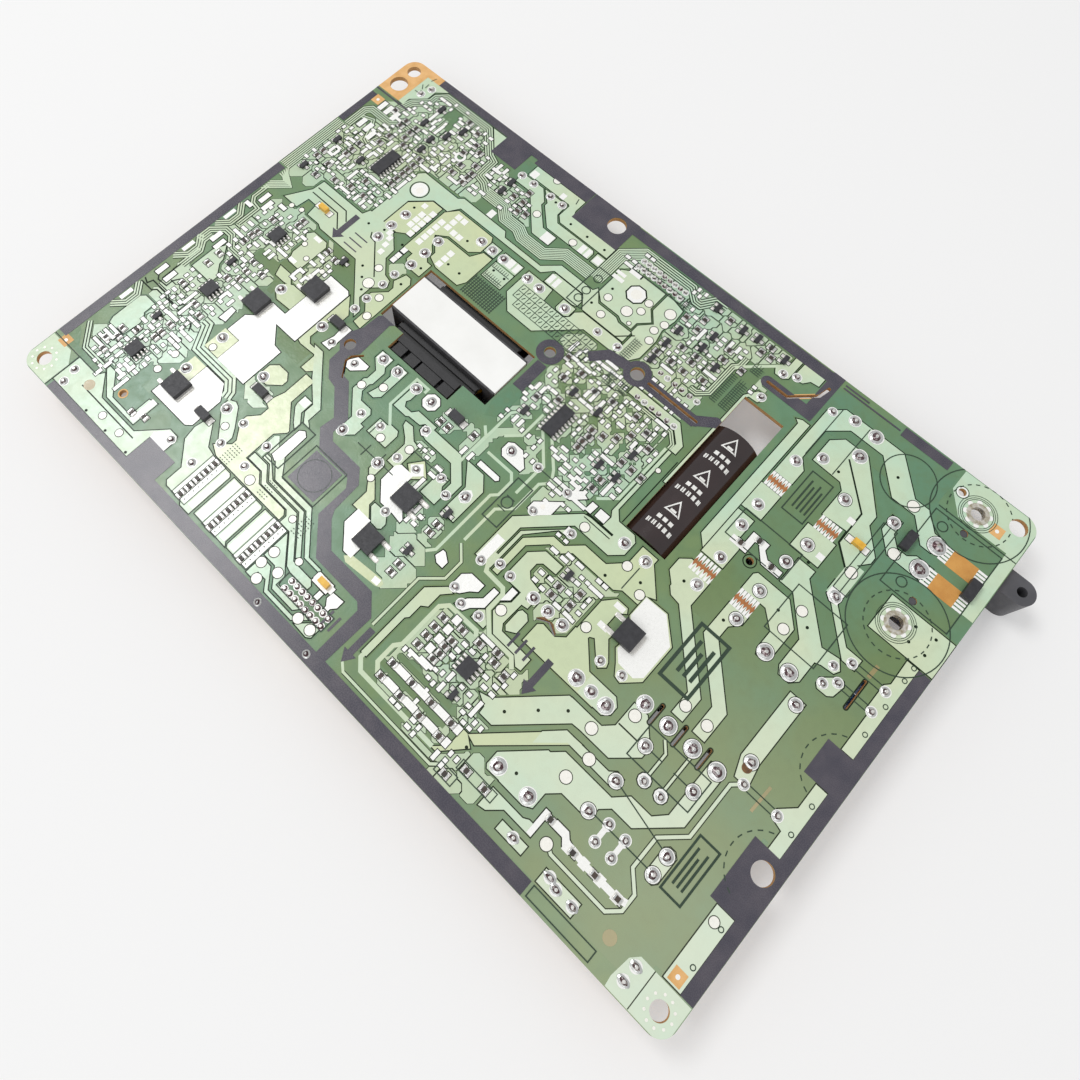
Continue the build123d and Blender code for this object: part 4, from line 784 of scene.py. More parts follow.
def top_middle():
    """Copper and print of the standby supply."""
    bundle(0.42, 0.62, 7, (56.6, 136.2), (64.6, 136.2), (68, 133.2), (73.6, 133.2), (76.6, 131.6),
           (85.2, 131.6), (90.4, 136.2), (101, 136.2))
    bundle(0.42, 0.62, 7, (103, 136), (103, 148.2), (108.2, 153.3), (112, 153.3))
    bundle(0.45, 0.8, 4, (112, 153.9), (126, 153.9), (129.6, 150.9), (131.4, 150.9),
           (134.2, 155.2), (138, 155.2))
    pours([(69.6, 150.1), (78.5, 150.1), (78.8, 145.4), (80.9, 143.1), (95.7, 143.1),
           (96.4, 142.2), (96.4, 139.6), (79.7, 139.6), (73.6, 145.4), (73.6, 146.6)],
          [(60.2, 149.9), (68.8, 149.9), (72.5, 146.2), (72.5, 144.8), (78.8, 138.7),
           (84.3, 138.7), (84.3, 135), (77.6, 135), (67.4, 145.4), (66.4, 146.2),
           (60.4, 146.2)],
          [(97.5, 139.6), (97.5, 143.2), (100.6, 143.2), (100.6, 139.6)],
          [(106.4, 133.6), (106.4, 143.9), (108.4, 145.2), (113, 145.2), (113, 146.6),
           (121.5, 146.6), (121.5, 139.4), (124.6, 136), (121.6, 132.8), (121.6, 130.2),
           (117.9, 130.2), (116.2, 131.1), (109.2, 131.1)],
          [(86.5, 114.2), (86.5, 124), (96, 124), (96.6, 119.4), (104.6, 119.2), (106, 120.8),
           (106, 122.8), (107.8, 124.6), (122.6, 124.6), (122.6, 120.6), (111.6, 120.4),
           (100.8, 109.4), (91.2, 109.4)],
          [(122.4, 147), (129, 145.4), (129.4, 141), (128.6, 136), (129.6, 132), (129.6, 124.6),
           (127.6, 121.4), (123.4, 120.8), (123.4, 128.8), (122.4, 129.6), (122.4, 132.4),
           (125.6, 136), (122.4, 139.6)],
          [(92.2, 124.6), (92.2, 128.4), (93, 129), (103.2, 129), (105, 127), (105, 124.8),
           (103.6, 124.4)],
          [(100.7, 120.4), (100.7, 123.9), (105.4, 123.9), (105.4, 120.6), (104.4, 119.8),
           (101.4, 119.8)])
    stroke("channel", 0.4, (118, 124.8), (119.6, 124.8), (124, 129.2))
    rects("bare", (84.8, 134.6, 88.4, 139), (96.8, 119.9, 100.2, 124))
    pads(0.6, (120, 131.2))
    pits((84.2, 145.7), (91, 145.7), (98, 145.7), (107.4, 128.9), (108.8, 136.9), (78.5, 116.8),
         (82.9, 116.8), (75.3, 148.6))
    pads(1.2, (74, 141.2), (89.2, 141), (120, 140.5), (120, 136.8), (109.8, 133.7), (112, 127.8),
         (128, 138), (126.9, 134.5), (128, 130.9), (122.7, 122.8), (70.1, 155.2))
    pads(1.7, (116.9, 133.9), (127, 142))
    rects("tin", (92, 139.6, 93.8, 142.8), (94.4, 139.6, 96, 142.8), (97.8, 140, 100.4, 142.6),
          (80.6, 135, 84.2, 138.6), (105.6, 140.2, 109.6, 141.6), (105.6, 142.2, 109, 143.4),
          (92.4, 125, 94, 128.4), (94.6, 125, 96.2, 128.4), (79.6, 120.4, 81.8, 123.6),
          (82.4, 120.4, 84.2, 123.6), (62.6, 130, 64.8, 132.8), (62, 150.6, 64.4, 153.4),
          (74.6, 150.8, 76.4, 153))
    disc("tin", 106.7, 157.6, 1.2)
    disc("tin", 128, 158, 1.2)
    stroke("silk", 0.28, (79.8, 154.6), (80.4, 152.4))
    frame_box("silk", 0.35, 100.8, 125, 106.3, 140)
    for y in (136.5, 131, 127.5):
        ring("silk", 103.4, y, 1.3, 0.35, 18)
    frame_box("silk", 0.4, 108.5, 146.6, 126.7, 149.3)
    islets(corners(108.5, 144.9, 112.5, 146.4),
           regular(115.3, 140.3, 3.0, 8, math.pi / 8))
    ring("channel", 115.3, 140.3, 3.1, 0.8, 8, 22.5, 382.5)
    disc("point", 115.3, 140.3, 1.7)
    disc("channel", 115.6, 139.9, 0.5)
    edged_pad(107, 157.9, 0.7, 0.7)
    edged_pad(128.4, 157.9, 0.7, 0.7)
    rects("copper", (71.4, 119.9, 75.4, 123.8), (76.9, 119.9, 84.4, 123.8),
          (76.9, 113.2, 84.4, 119.4))
    frame_box("rim", RIM, 71.4, 119.9, 75.4, 123.8)
    frame_box("rim", RIM, 76.9, 113.2, 84.4, 123.8)
    for row in range(3):
        for column in range(13):
            x = 88.6 + 2.25 * column
            y = 112.0 + 2.5 * row
            if x < 117 and (row > 0 or x > 89):
                frame_box("silk", 0.22, x, y, x + 2.25, y + 2.5)
                stroke("silk", 0.3, (x + 0.7, y + 0.7), (x + 1.3, y + 1.8))
    for k in range(14):
        stroke("silk", 0.3, (76 + 0.9 * k, 104.8), (76 + 0.9 * k, 112.3))
    for k in range(9):
        stroke("silk", 0.2, (75.8, 105.2 + 0.8 * k), (88, 105.2 + 0.8 * k))
    for box in ((124.6, 121.5, 127.6, 129), (152, 128.5, 154.2, 140), (155.2, 128.5, 158.2, 139.5),
                (155.2, 143.4, 158.4, 147), (126.4, 111.4, 129.6, 116.2),
                (131, 112, 134.4, 116.2), (127.4, 146, 129.8, 150), (77.2, 113.6, 84, 115.6),
                (77.2, 117.6, 84, 119)):
        hatch(*box)


def top_right():
    """Copper of the large output and its rows of slots."""
    rects("bare", (176.2, 143, 216, 157), (151, 106, 159, 146), (215, 117, 236.3, 146.6),
          (178, 104, 221, 133))
    pours([(165.6, 156), (172.6, 156), (172.6, 153), (170, 152.6), (168.6, 150.6),
           (166.4, 150.2), (165.5, 151.4)],
          [(160, 149.4), (161, 147.8), (163.4, 147.8), (164.8, 149), (164.8, 156), (162.6, 156),
           (162.6, 153)],
          [(158.6, 100), (158.6, 136), (161, 139.8), (163.2, 140.2), (163.5, 138.4),
           (162.8, 136.8), (160, 136.6), (159.4, 135.6), (159.4, 100)],
          [(134.4, 116.7), (151, 116.7), (156, 111.6), (156, 108.4), (154.2, 108.4),
           (154.2, 111), (151.2, 113.9), (134.4, 113.9)],
          [(175, 95.8), (175, 139.6), (173.8, 140.4), (175.4, 141.2), (177.7, 141.2),
           (177.7, 93)],
          [(175.2, 82.2), (175.2, 86.2), (177.6, 88.4), (184, 88.4), (184, 77.6), (180, 77.6)])
    bundle(0.4, 0.65, 3, (146.2, 127.2), (148.4, 127.2), (151, 129.8), (151, 141),
           (152.3, 142.6), (152.3, 146))
    bundle(0.4, 0.65, 2, (140.6, 112.8), (150.8, 112.8), (153.6, 110), (153.6, 108.4))
    stroke("copper", 0.9, (151.4, 141.4), (161.6, 151.6), (162.6, 153))
    pours([(178.6, 123.6), (184.4, 123.6), (184.4, 129), (181.8, 132), (181.8, 143), (187, 148),
           (197.7, 148), (206.2, 139.3), (213.5, 139.3), (219, 133.3), (222, 133.3),
           (222, 138.6), (220, 138.6), (215.5, 143.2), (211, 143.2), (201.6, 152.4),
           (182.5, 152.4), (178.6, 148.5)],
          [(184.4, 133.5), (184.4, 141.5), (187.5, 144.7), (195, 144.7), (206.2, 131.7),
           (206.2, 128.4), (212.3, 122), (212.3, 120), (208, 114.5), (203, 119),
           (202.8, 123), (195.3, 122.4), (195.3, 131.5), (193.5, 133.3)],
          [(209.2, 135.2), (212.2, 135.2), (212.2, 131), (215, 128.2), (218, 128.2),
           (220, 130), (225, 130), (225, 125), (214, 125), (209.2, 130)],
          corners(221, 106, 239.8, 117),
          corners(178, 109.5, 184.3, 118.5),
          corners(194, 109.5, 202.8, 117.7))
    rect("copper", 236.6, 125, 239.8, 147)
    rect("copper", 208, 106, 212.3, 117)
    stroke("channel", 0.5, (191.5, 140.5), (202.9, 129.7), (203, 119), (208, 114.5))
    for x0, x1, y0, y1 in ((226.4, 233.7, 133.2, 138.4), (226.4, 233.7, 124.6, 130)):
        rect("amber", x0, y0, x1, y1)
        for k in range(5):
            y = y0 + 0.5 + (y1 - y0 - 1.0) * k / 4
            rect("tin", x0 - 2.4, y - 0.36, x0, y + 0.36)
            rect("tin", x1, y - 0.36, x1 + 2.6, y + 0.36)
    for x0, x1, y0, y1, gap in ((178.5, 184.4, 118.6, 123.5, 121.1),
                                (195.5, 201.8, 117.7, 122.4, 119.8),
                                (178.2, 185, 86, 91.5, 88.7), (191.7, 197.6, 86, 91.5, 88.7)):
        for k in range(6):
            x = x0 + 0.45 + (x1 - x0 - 0.9) * k / 5
            rect("tin", x - 0.42, y0, x + 0.42, y1)
            area("rust", (x - 0.42, gap + 0.3), (x + 0.42, gap + 0.3), (x, gap + 1.5))
            area("rust", (x + 0.42, gap - 0.3), (x - 0.42, gap - 0.3), (x, gap - 1.5))
        rect("rust", x0, gap - 0.4, x1, gap + 0.4)
    pads(1.6, (211.8, 141.2), (215.3, 126.4), (210, 114.4))
    pits((204.2, 145.3), (191.5, 135.4), (200.3, 108.9))
    rect("tin", 201, 125.2, 203, 127)
    rect("tin", 200.7, 111.4, 202.7, 113.2)
    ring("tin", 219.2, 153.8, 1.35, 0.4, 24)
    ring("silk", 219.2, 153.8, 1.75, 0.2, 24)
    for x, y in ((225.5, 151.3), (225.6, 111.5)):
        for radius in (4.1, 4.6, 5.2):
            ring("silk", x, y, radius, 0.16, 36)
        round_about(x, y, 3.3, 8, math.pi / 8, "tin", 0.75, 12)
        ring("silk", x + 0.5, y, 13.2, 0.3, 60)
        ring("silk", x + 0.5, y, 8.7, 0.3, 48, step=2)
    pits((229.9, 114.2), (230.6, 109.7), (235.4, 109.6), (235.4, 114.9))
    ring("silk", 206.8, 146.5, 7.7, 0.3, 48)
    frame_box("silk", 0.3, 216.5, 118, 236.5, 145)
    stroke("silk", 0.3, (216.5, 146.3), (239.8, 146.3))
    for x, y in ((220.5, 141.7), (220.8, 121.5)):
        ring("silk", x, y, 1.4, 0.3, 20)
    for x in (181.8, 190.7):
        stroke("silk", 0.28, (x, 133.5), (x, 152))
    frame_box("silk", 0.35, 186.3, 116.3, 193, 130.7)
    for k in range(4):
        stroke("silk", 0.5, (188 + 1.3 * k, 118.6), (188 + 1.3 * k, 128.4 - 1.4 * (k % 2)))
    stroke("silk", 0.28, (210.7, 108), (210.7, 132))
    frame_box("silk", 0.28, 208.6, 108.2, 212.8, 131.8)


def middle_left():
    """Mains input: wide tinned copper, chevrons and track bundles."""
    rects("print", (38, 92.1, 43.5, 92.5), (38, 94.4, 43.5, 94.8), (38, 96.8, 43.5, 97.2))
    area("print", (31.6, 93.6), (36.6, 93.6), (34.2, 90.9))
    rect("print", 33.2, 93.2, 35.2, 101.8)
    pours([(11.6, 91), (16.2, 99), (16.6, 103.4), (34.4, 103.4), (35.4, 106), (45.6, 106),
           (51.3, 100.8), (51.6, 97.1), (55.9, 92.8), (58.4, 92.2), (59.4, 90.2), (55.9, 86.7),
           (55.9, 82.1), (59.5, 78.8), (59.5, 76.6), (45.2, 90.6), (29, 90.6), (27.4, 91.4),
           (22.2, 91.4), (21.6, 95.6), (18, 95.6), (17.4, 91)],
          [(28.8, 88.3), (34.4, 88.3), (35.6, 87), (35.6, 76), (31, 76), (29.4, 79),
           (29.4, 84.4), (27.4, 86.4)],
          [(8.2, 27), (8.2, 37), (9.4, 38.2), (13.6, 38.2), (13.6, 34.2), (15, 33), (15.6, 31),
           (15, 25.6), (9, 25.2)],
          [(11, 54.5), (11, 62.5), (12.8, 66.4), (16, 62.4), (16.4, 60.6), (19.6, 57),
           (19.6, 54.5)])
    lines("channel", 0.4, [(41.6, 100.8), (42.7, 99.2), (45, 98.9), (54, 90)],
          [(17, 98.2), (28.6, 98.2), (33, 94)], [(17, 100.6), (30, 100.6), (33, 97.8)])
    lines("bare", 1.5, [(46, 106), (51.7, 100.9), (52, 97.3), (56.2, 93), (58.8, 92.3),
                        (60, 90.2), (56.4, 86.4), (56.4, 82.3), (60.2, 79), (60.2, 75),
                        (58.6, 73)],
          [(59, 92.3), (62, 99), (65, 99)], [(60.2, 79), (61.6, 80)])
    area("bare", (36.5, 89.8), (45.2, 89.8), (58.8, 76), (57.4, 74), (53.4, 80.9),
         (45.5, 81.6), (43.8, 81), (42, 84), (38, 88))
    rects("bare", (21.6, 69, 34.6, 73.4), (29.6, 73.4, 34.8, 75.8))
    area("bare", (32.6, 69), (36.2, 69), (36, 64.5), (34, 64.5))
    area("bare", (44.7, 60), (50.3, 54.4), (59.5, 54.4), (59.5, 59.3), (53.8, 59.3),
         (53.4, 58.7), (46.2, 58.7))
    warm_pours([(36.4, 69.9), (38.6, 71.2), (44.1, 71.2), (44.1, 64.9), (38.5, 64.6),
                (36.4, 66.2)],
               [(30.4, 73.2), (35, 73.2), (38.2, 70.4), (35.5, 70), (31.8, 70)],
               [(53.6, 60), (53.6, 80.4), (58.2, 75.6), (58.2, 73.4), (55.6, 72.6),
                (55.3, 63), (57, 61.4), (62.5, 61.4), (66, 58), (63, 54.6), (61, 54.6),
                (61, 60), (55, 59.6)],
               [(57.4, 106), (60.6, 106), (61.8, 104.8), (63.6, 104.8), (63.6, 99.6),
                (58.6, 99.6), (56.4, 101.5), (56.4, 104.8)],
               [(60.6, 97.2), (62.4, 97.2), (63.8, 95.6), (63.8, 75), (60.8, 75.4), (60.8, 80),
                (57.4, 83.4), (57.4, 85.6), (61, 89.4), (61, 91.4), (59.4, 93.2)])
    for k in range(5):                                    # chevrons beside the edge band
        for layer, width in (("rim", 0.8), ("copper", 0.5)):
            stroke(layer, width, (3.8, 99.4 - 0.9 * k), (5.6, 97.6 - 0.5 * k),
                   (10.6 - 0.9 * k, 94.7), (3.8, 88 + 0.9 * k))
    for y in (74.6, 58.2, 34.6):
        bundle(0.5, 0.8, 3, (3.8, y + 5.4), (7, y + 2), (7, y - 2), (3.8, y - 5.4))
        rect("tin", 3.8, y - 2.2, 5.2, y + 2.2)
    bundle(0.5, 0.8, 3, (4.6, 62), (4.6, 66.6), (8, 70), (11, 70), (14.8, 66.6), (19.6, 66.6))
    bundle(0.5, 0.8, 2, (4.8, 90), (4.8, 84.2), (6.4, 82.4), (9.2, 82), (9.2, 74))
    bundle(0.5, 0.8, 3, (8.4, 52.5), (8.4, 59.5), (6.2, 62.4), (6.2, 66))
    blocks(1.7, 4.2, (7.7, 86.2), (10.6, 84.8), (8, 66.4), (11, 65.2), (5.3, 47.4), (9.2, 47.4))
    blocks(2.8, 1.4, (31.6, 87.3), (31.6, 76.9), (14.5, 87.7), (5.8, 81.2))
    lines("channel", 0.45, [(4, 42), (6, 41.2), (6.6, 43), (14, 43), (15.4, 42.2), (19, 42.2),
                            (20, 44.2)],
          [(4, 40.6), (9, 40.6), (10, 41.8), (20.6, 41.8), (22, 41.2), (27, 41.2), (28.2, 39.4)],
          [(15, 45), (17.6, 45), (20.5, 47.5)], [(8, 45.4), (8, 52.5)],
          [(4, 46), (6, 45.7), (7.4, 44.3), (11, 44.6), (11, 47), (12.5, 49.4), (15.5, 49.4)])
    pads(0.8, (19.6, 91.2), (16, 90.2), (29.9, 83.4), (34.2, 80.2), (41.2, 80.4))
    pits((38.5, 102.3), (43.8, 104), (51.8, 104), (62, 102), (61.7, 93.9), (48.5, 90.4),
         (51.3, 87.5), (54.4, 84.4), (44.5, 116.3), (65.3, 118.9), (67, 108.8), (71.7, 108.8),
         (49, 116.4))
    pads(1.2, (52.7, 93.2), (60.4, 86.1), (62.3, 79.3))
    pads(1.7, (54.3, 87.4))
    blocks(1.7, 1.9, (48, 100.5), (48.8, 97.8), (53.7, 103), (53.7, 100.5), (53.7, 98.5),
           (47.2, 103), (45.8, 104.4))
    islets([(44.3, 58.9), (53.2, 58.9), (53.2, 80.2), (52, 81.2), (44.3, 81.2)],
           [(41.4, 39.5), (53, 39.5), (53, 53.6), (50, 53.9), (44.4, 59.4), (44.4, 62.9),
            (38.8, 62.9), (38.8, 57), (36, 54.5), (36, 47.8), (41.4, 47.8)],
           [(36, 20), (51, 20), (52.6, 21.4), (52.6, 31.4), (49, 35.7), (41.2, 35.7),
            (41.2, 28.4), (36, 28.4)],
           [(31, 53.5), (32.8, 53.5), (33.5, 49), (31, 48.6)])
    rects("warm", (35.2, 39.7, 41.2, 47.6), (36, 28.6, 41, 35.6))
    bundle(0.8, 1.15, 3, (28.6, 44.6), (30.6, 44.6), (34.6, 37.9), (49.2, 37.9), (52.2, 35.2),
           (52.8, 33))
    warm_pours([(54, 46), (54, 48.6), (56, 50.6), (59.6, 50.6), (61.4, 48.8), (61.4, 47),
                (58, 44), (54.8, 43.8)],
               [(63.8, 46), (63.8, 54), (67.2, 54), (67.2, 45.2), (73.6, 38.9), (73.6, 38.3),
                (71, 35.4), (71, 25.4), (76.8, 25.4), (79.4, 22.9), (90, 22.9), (91, 21.8),
                (91, 20.2), (64.6, 20.2), (61.4, 21.8), (65.2, 25.4), (65.2, 27),
                (61.6, 31.5), (61.6, 33.6), (64.2, 36.6), (64.2, 39.6), (62, 40.5)])


def middle():
    """Copper and print round the transformers' windows."""
    area("bare", (109.6, 80.3), (112.9, 82.6), (113.3, 91.6), (113.1, 102.4), (111.8, 105.6),
         (108.7, 91.9), (108, 85.2))
    area("bare", (128.5, 70.8), (129.7, 75.1), (133.6, 79.7), (135.6, 79.2), (135.5, 72),
         (134.3, 66.2), (130.4, 64.8))
    area("bare", (128.1, 86.7), (129.3, 88.7), (134.8, 81.7), (133.6, 79.7))
    pads(1.2, (82.9, 66.5), (93.5, 55.3), (101.9, 58.4), (77.7, 62.8))
    pours([(74.2, 74.5), (78.6, 74.5), (78.6, 71.2), (79.8, 69.8), (79.8, 65.2), (79.2, 64.4),
           (79.2, 61.6), (81.2, 59.3), (85.2, 59.3), (86.3, 58.2), (86.3, 54.3), (87.6, 54.2),
           (87.6, 51), (85.4, 48.8), (83, 49), (83, 54.2), (76.7, 60.4), (76.7, 64.6),
           (77.4, 65.4), (77.4, 68.8), (74.2, 71.6)],
          [(80.7, 74.5), (84.5, 74.5), (84.5, 64), (83, 62.4), (81, 62.4), (81.8, 65.6),
           (81.8, 70.4), (80.7, 71.6)],
          [(88.9, 74.2), (91.2, 74.2), (91.2, 69.2), (90.6, 68), (91.6, 66.6), (94.2, 66.6),
           (95.5, 68.3), (102.6, 68.3), (102.6, 67), (99.6, 66.9), (98.6, 65.6), (94.6, 65.4),
           (93.8, 64.8), (88.9, 64.8)],
          [(102.5, 67.2), (113.4, 67.2), (119.6, 61), (119.6, 55.4), (117.2, 55.2),
           (117.2, 59.4), (113, 63.6), (103, 63.6), (101, 64.2), (99.6, 65.8)],
          [(95, 63.7), (97.6, 63.9), (101, 60.9), (103.2, 60.6), (103.2, 52), (99.8, 52),
           (99.8, 58.6), (98.6, 60), (95.4, 62.4)],
          [(89.3, 54.2), (96.5, 54.2), (96.5, 58.8), (95.6, 60), (92.8, 60), (92.2, 59.2),
           (89.3, 59.2)],
          [(115.8, 67.3), (121.8, 67.3), (125.2, 63.6), (125.2, 52), (120.8, 52),
           (120.8, 61.4)],
          [(58.4, 62.2), (61.8, 62.2), (71, 53.2), (75, 49.4), (75, 44.8), (77, 43.4),
           (74.8, 43.4), (72.4, 46), (72.4, 49), (70, 51), (66, 54.4)],
          [(97.8, 47), (97.8, 50.2), (98.8, 51.2), (100.3, 50.2), (100.3, 46.8), (99.2, 45.6)],
          [(112.8, 52), (112.8, 59.6), (116, 59.6), (116, 57), (118, 54.6), (118, 52)])
    islets(regular(96.1, 72.7, 2.7, 8, math.pi / 8), regular(107.8, 55.6, 2.5, 4, 0.0),
           [(74.4, 71.8), (74.4, 74.3), (78.4, 74.3), (78.4, 71.4)],
           [(80.9, 71.8), (80.9, 74.3), (84.3, 74.3), (84.3, 71.4)],
           [(69, 65.4), (70.6, 68.2), (75, 68.2), (75.2, 66.8), (72, 63.6), (70, 63.6)],
           [(99.8, 66.6), (102.4, 66.6), (102.8, 64.4), (101.2, 63.7), (99.8, 64.6)],
           [(59.4, 64), (62.6, 64), (62.6, 72.8), (59.8, 72.8), (60.4, 68)],
           [(120.2, 76.4), (120.2, 79), (121.6, 80), (124.8, 80), (128.6, 76.4), (128.4, 74.9),
            (121.6, 74.9)],
           [(118.4, 68.2), (125.4, 68.2), (126, 69), (125.4, 69.8), (118.4, 69.8)],
           [(121.6, 58), (121.6, 61), (122.6, 61.8), (124, 61), (124, 58), (122.8, 57.2)],
           corners(136, 50, 138.8, 58),
           [(140.4, 79.4), (141, 78.2), (143.6, 78.2), (147, 81.8), (144.6, 82.6),
            (142.4, 80.6), (140.4, 80.4)],
           [(148.3, 79.2), (150.2, 79.2), (150.4, 82.2), (148.5, 82.2)],
           corners(151.4, 79.6, 154.6, 82.2),
           corners(148.4, 70.2, 150, 72.6))
    lines("copper", 0.85, [(92.6, 73.4), (92.6, 75), (88, 75), (88, 64.4), (92.6, 59.8)],
          [(117.4, 62.4), (114.4, 65.4), (114.4, 76), (112, 78.2)],
          [(116, 88), (114.6, 86), (114.6, 68.4)],
          [(118, 79.6), (121.6, 83.2), (121.6, 92)],
          [(118, 73), (127, 73), (128.7, 71.2), (128.7, 66), (127.2, 64.4), (127.2, 43.6),
           (125.4, 41.4)],
          [(124.6, 88.4), (132.2, 80.4), (131.8, 77.8), (131.8, 69.6)],
          [(128, 88.4), (134.8, 81.6), (136.2, 79.4), (136.2, 77.6), (134.6, 75.8),
           (134.6, 66.2), (130.8, 62.4), (130.8, 50.6)],
          [(148.6, 83.6), (153, 87.8), (153, 108)])
    rect("print", 108.7, 93, 112.3, 103.7)
    rect("print", 83.5, 29.7, 94, 40.5)
    frame_box("silk", 0.3, 82.4, 28.8, 94.9, 41.4)
    ring("silk", 88.7, 35.1, 4.7, 0.16, 32)
    frame_box("silk", 0.35, 129.3, 59, 134.6, 73.3)
    ring("silk", 131.9, 66, 1.6, 0.35, 20)
    lines("silk", 0.3, [(131, 79.3), (140.4, 79.3)], [(169.3, 69.6), (169.3, 77)],
          [(103.2, 59), (116, 59)], [(90.2, 54.2), (90.2, 59)], [(98.2, 53), (98.2, 50.6)],
          [(90, 50), (104, 50)], [(93.2, 48), (93.2, 52)], [(130.4, 67.6), (133.2, 67.6)],
          [(130.4, 63.8), (133.2, 63.8)])
    pours([(154.9, 108), (154.9, 85.4), (157.2, 82.9), (162.6, 82.9), (164.1, 81.4),
           (164.1, 77), (161, 73.9), (149.4, 73.9), (139.2, 63.4), (139.2, 50), (135.6, 50),
           (135.6, 64.2), (149, 78), (154.8, 79.2), (155, 82.4), (153.9, 84), (153.9, 108)],
          [(140, 50), (140, 62.8), (149.4, 72.4), (150.1, 72.4), (150.1, 70.2), (147.2, 70),
           (140.9, 62.4), (140.9, 50)],
          [(145.2, 50.8), (145.2, 59.8), (148.6, 63.3), (154.5, 63.3), (154.5, 60.6),
           (150.2, 60.4), (149, 59.2), (149, 56.6), (150.6, 55), (154.4, 54.4), (154.4, 50.8)])
    warm_pours([(141.7, 50), (141.7, 61.8), (147.4, 67.7), (151, 67.7), (155, 71.7),
                (162.2, 71.7), (166.3, 76), (166.3, 82), (171.3, 82), (171.3, 80.4),
                (177.6, 73.6), (175, 72.4), (175, 69.4), (169.8, 69.4), (168, 67.9),
                (154, 67.9), (151.6, 65.5), (148, 65.5), (143.5, 60.8), (143.5, 50)],
               [(167.7, 50), (167.7, 63.6), (170.4, 66.8), (173.8, 66.8), (174.6, 65.6),
                (172.6, 64), (172.6, 60), (175.4, 59.1), (175.2, 57.5), (179, 53), (179.4, 51.8),
                (177.9, 50.3), (176.7, 51.2), (172.6, 55.3), (171.4, 54.6), (170.6, 50)],
               [(102.3, 36.8), (102.3, 41.9), (99.8, 44.8), (101, 46), (105.4, 41.8),
                (105.4, 39.8), (108.4, 36.8)],
               [(107.4, 59), (111.4, 55.6), (108.2, 52.6), (104.6, 55.2)])
    pour((106.2, 39.9), (106.2, 41.2), (110.6, 41.4), (112.6, 39), (112.6, 37.4),
         (111.8, 36.7), (109.4, 36.8))
    stroke("channel", 0.7, (149.5, 78.8), (158.5, 78.8))
    stroke("channel", 0.3, (149.5, 77.5), (158.5, 77.5))
    stroke("channel", 0.32, (157.9, 83.4), (157.9, 107))
    pads(1.3, (151.6, 75.4), (166.6, 75.2), (173.8, 71.6), (169.2, 55.8))
    pads(0.7, (139.7, 71.8), (155.6, 101.4))
    pits((164, 69.3), (171.9, 74.2))
    warm_pours([(175.3, 72.5), (182.1, 72.8), (188.2, 67), (188.2, 55.4), (184.2, 51.3),
                (182.3, 51.7), (180.4, 54.4), (178, 57.2), (178.6, 62), (175.3, 65.8)])
    area("tin", (175.5, 72.3), (182, 72.5), (187.8, 66.8), (187.8, 56.3), (185.9, 54.4),
         (180.9, 54.7), (178.3, 57.4), (179, 62), (175.5, 66))
    blocks(3.0, 1.6, (172.2, 65.6), (172.2, 59))
    islets([(136.9, 68.8), (139.4, 68.2), (142.8, 71.6), (142.8, 76.6), (136.9, 71.2)])


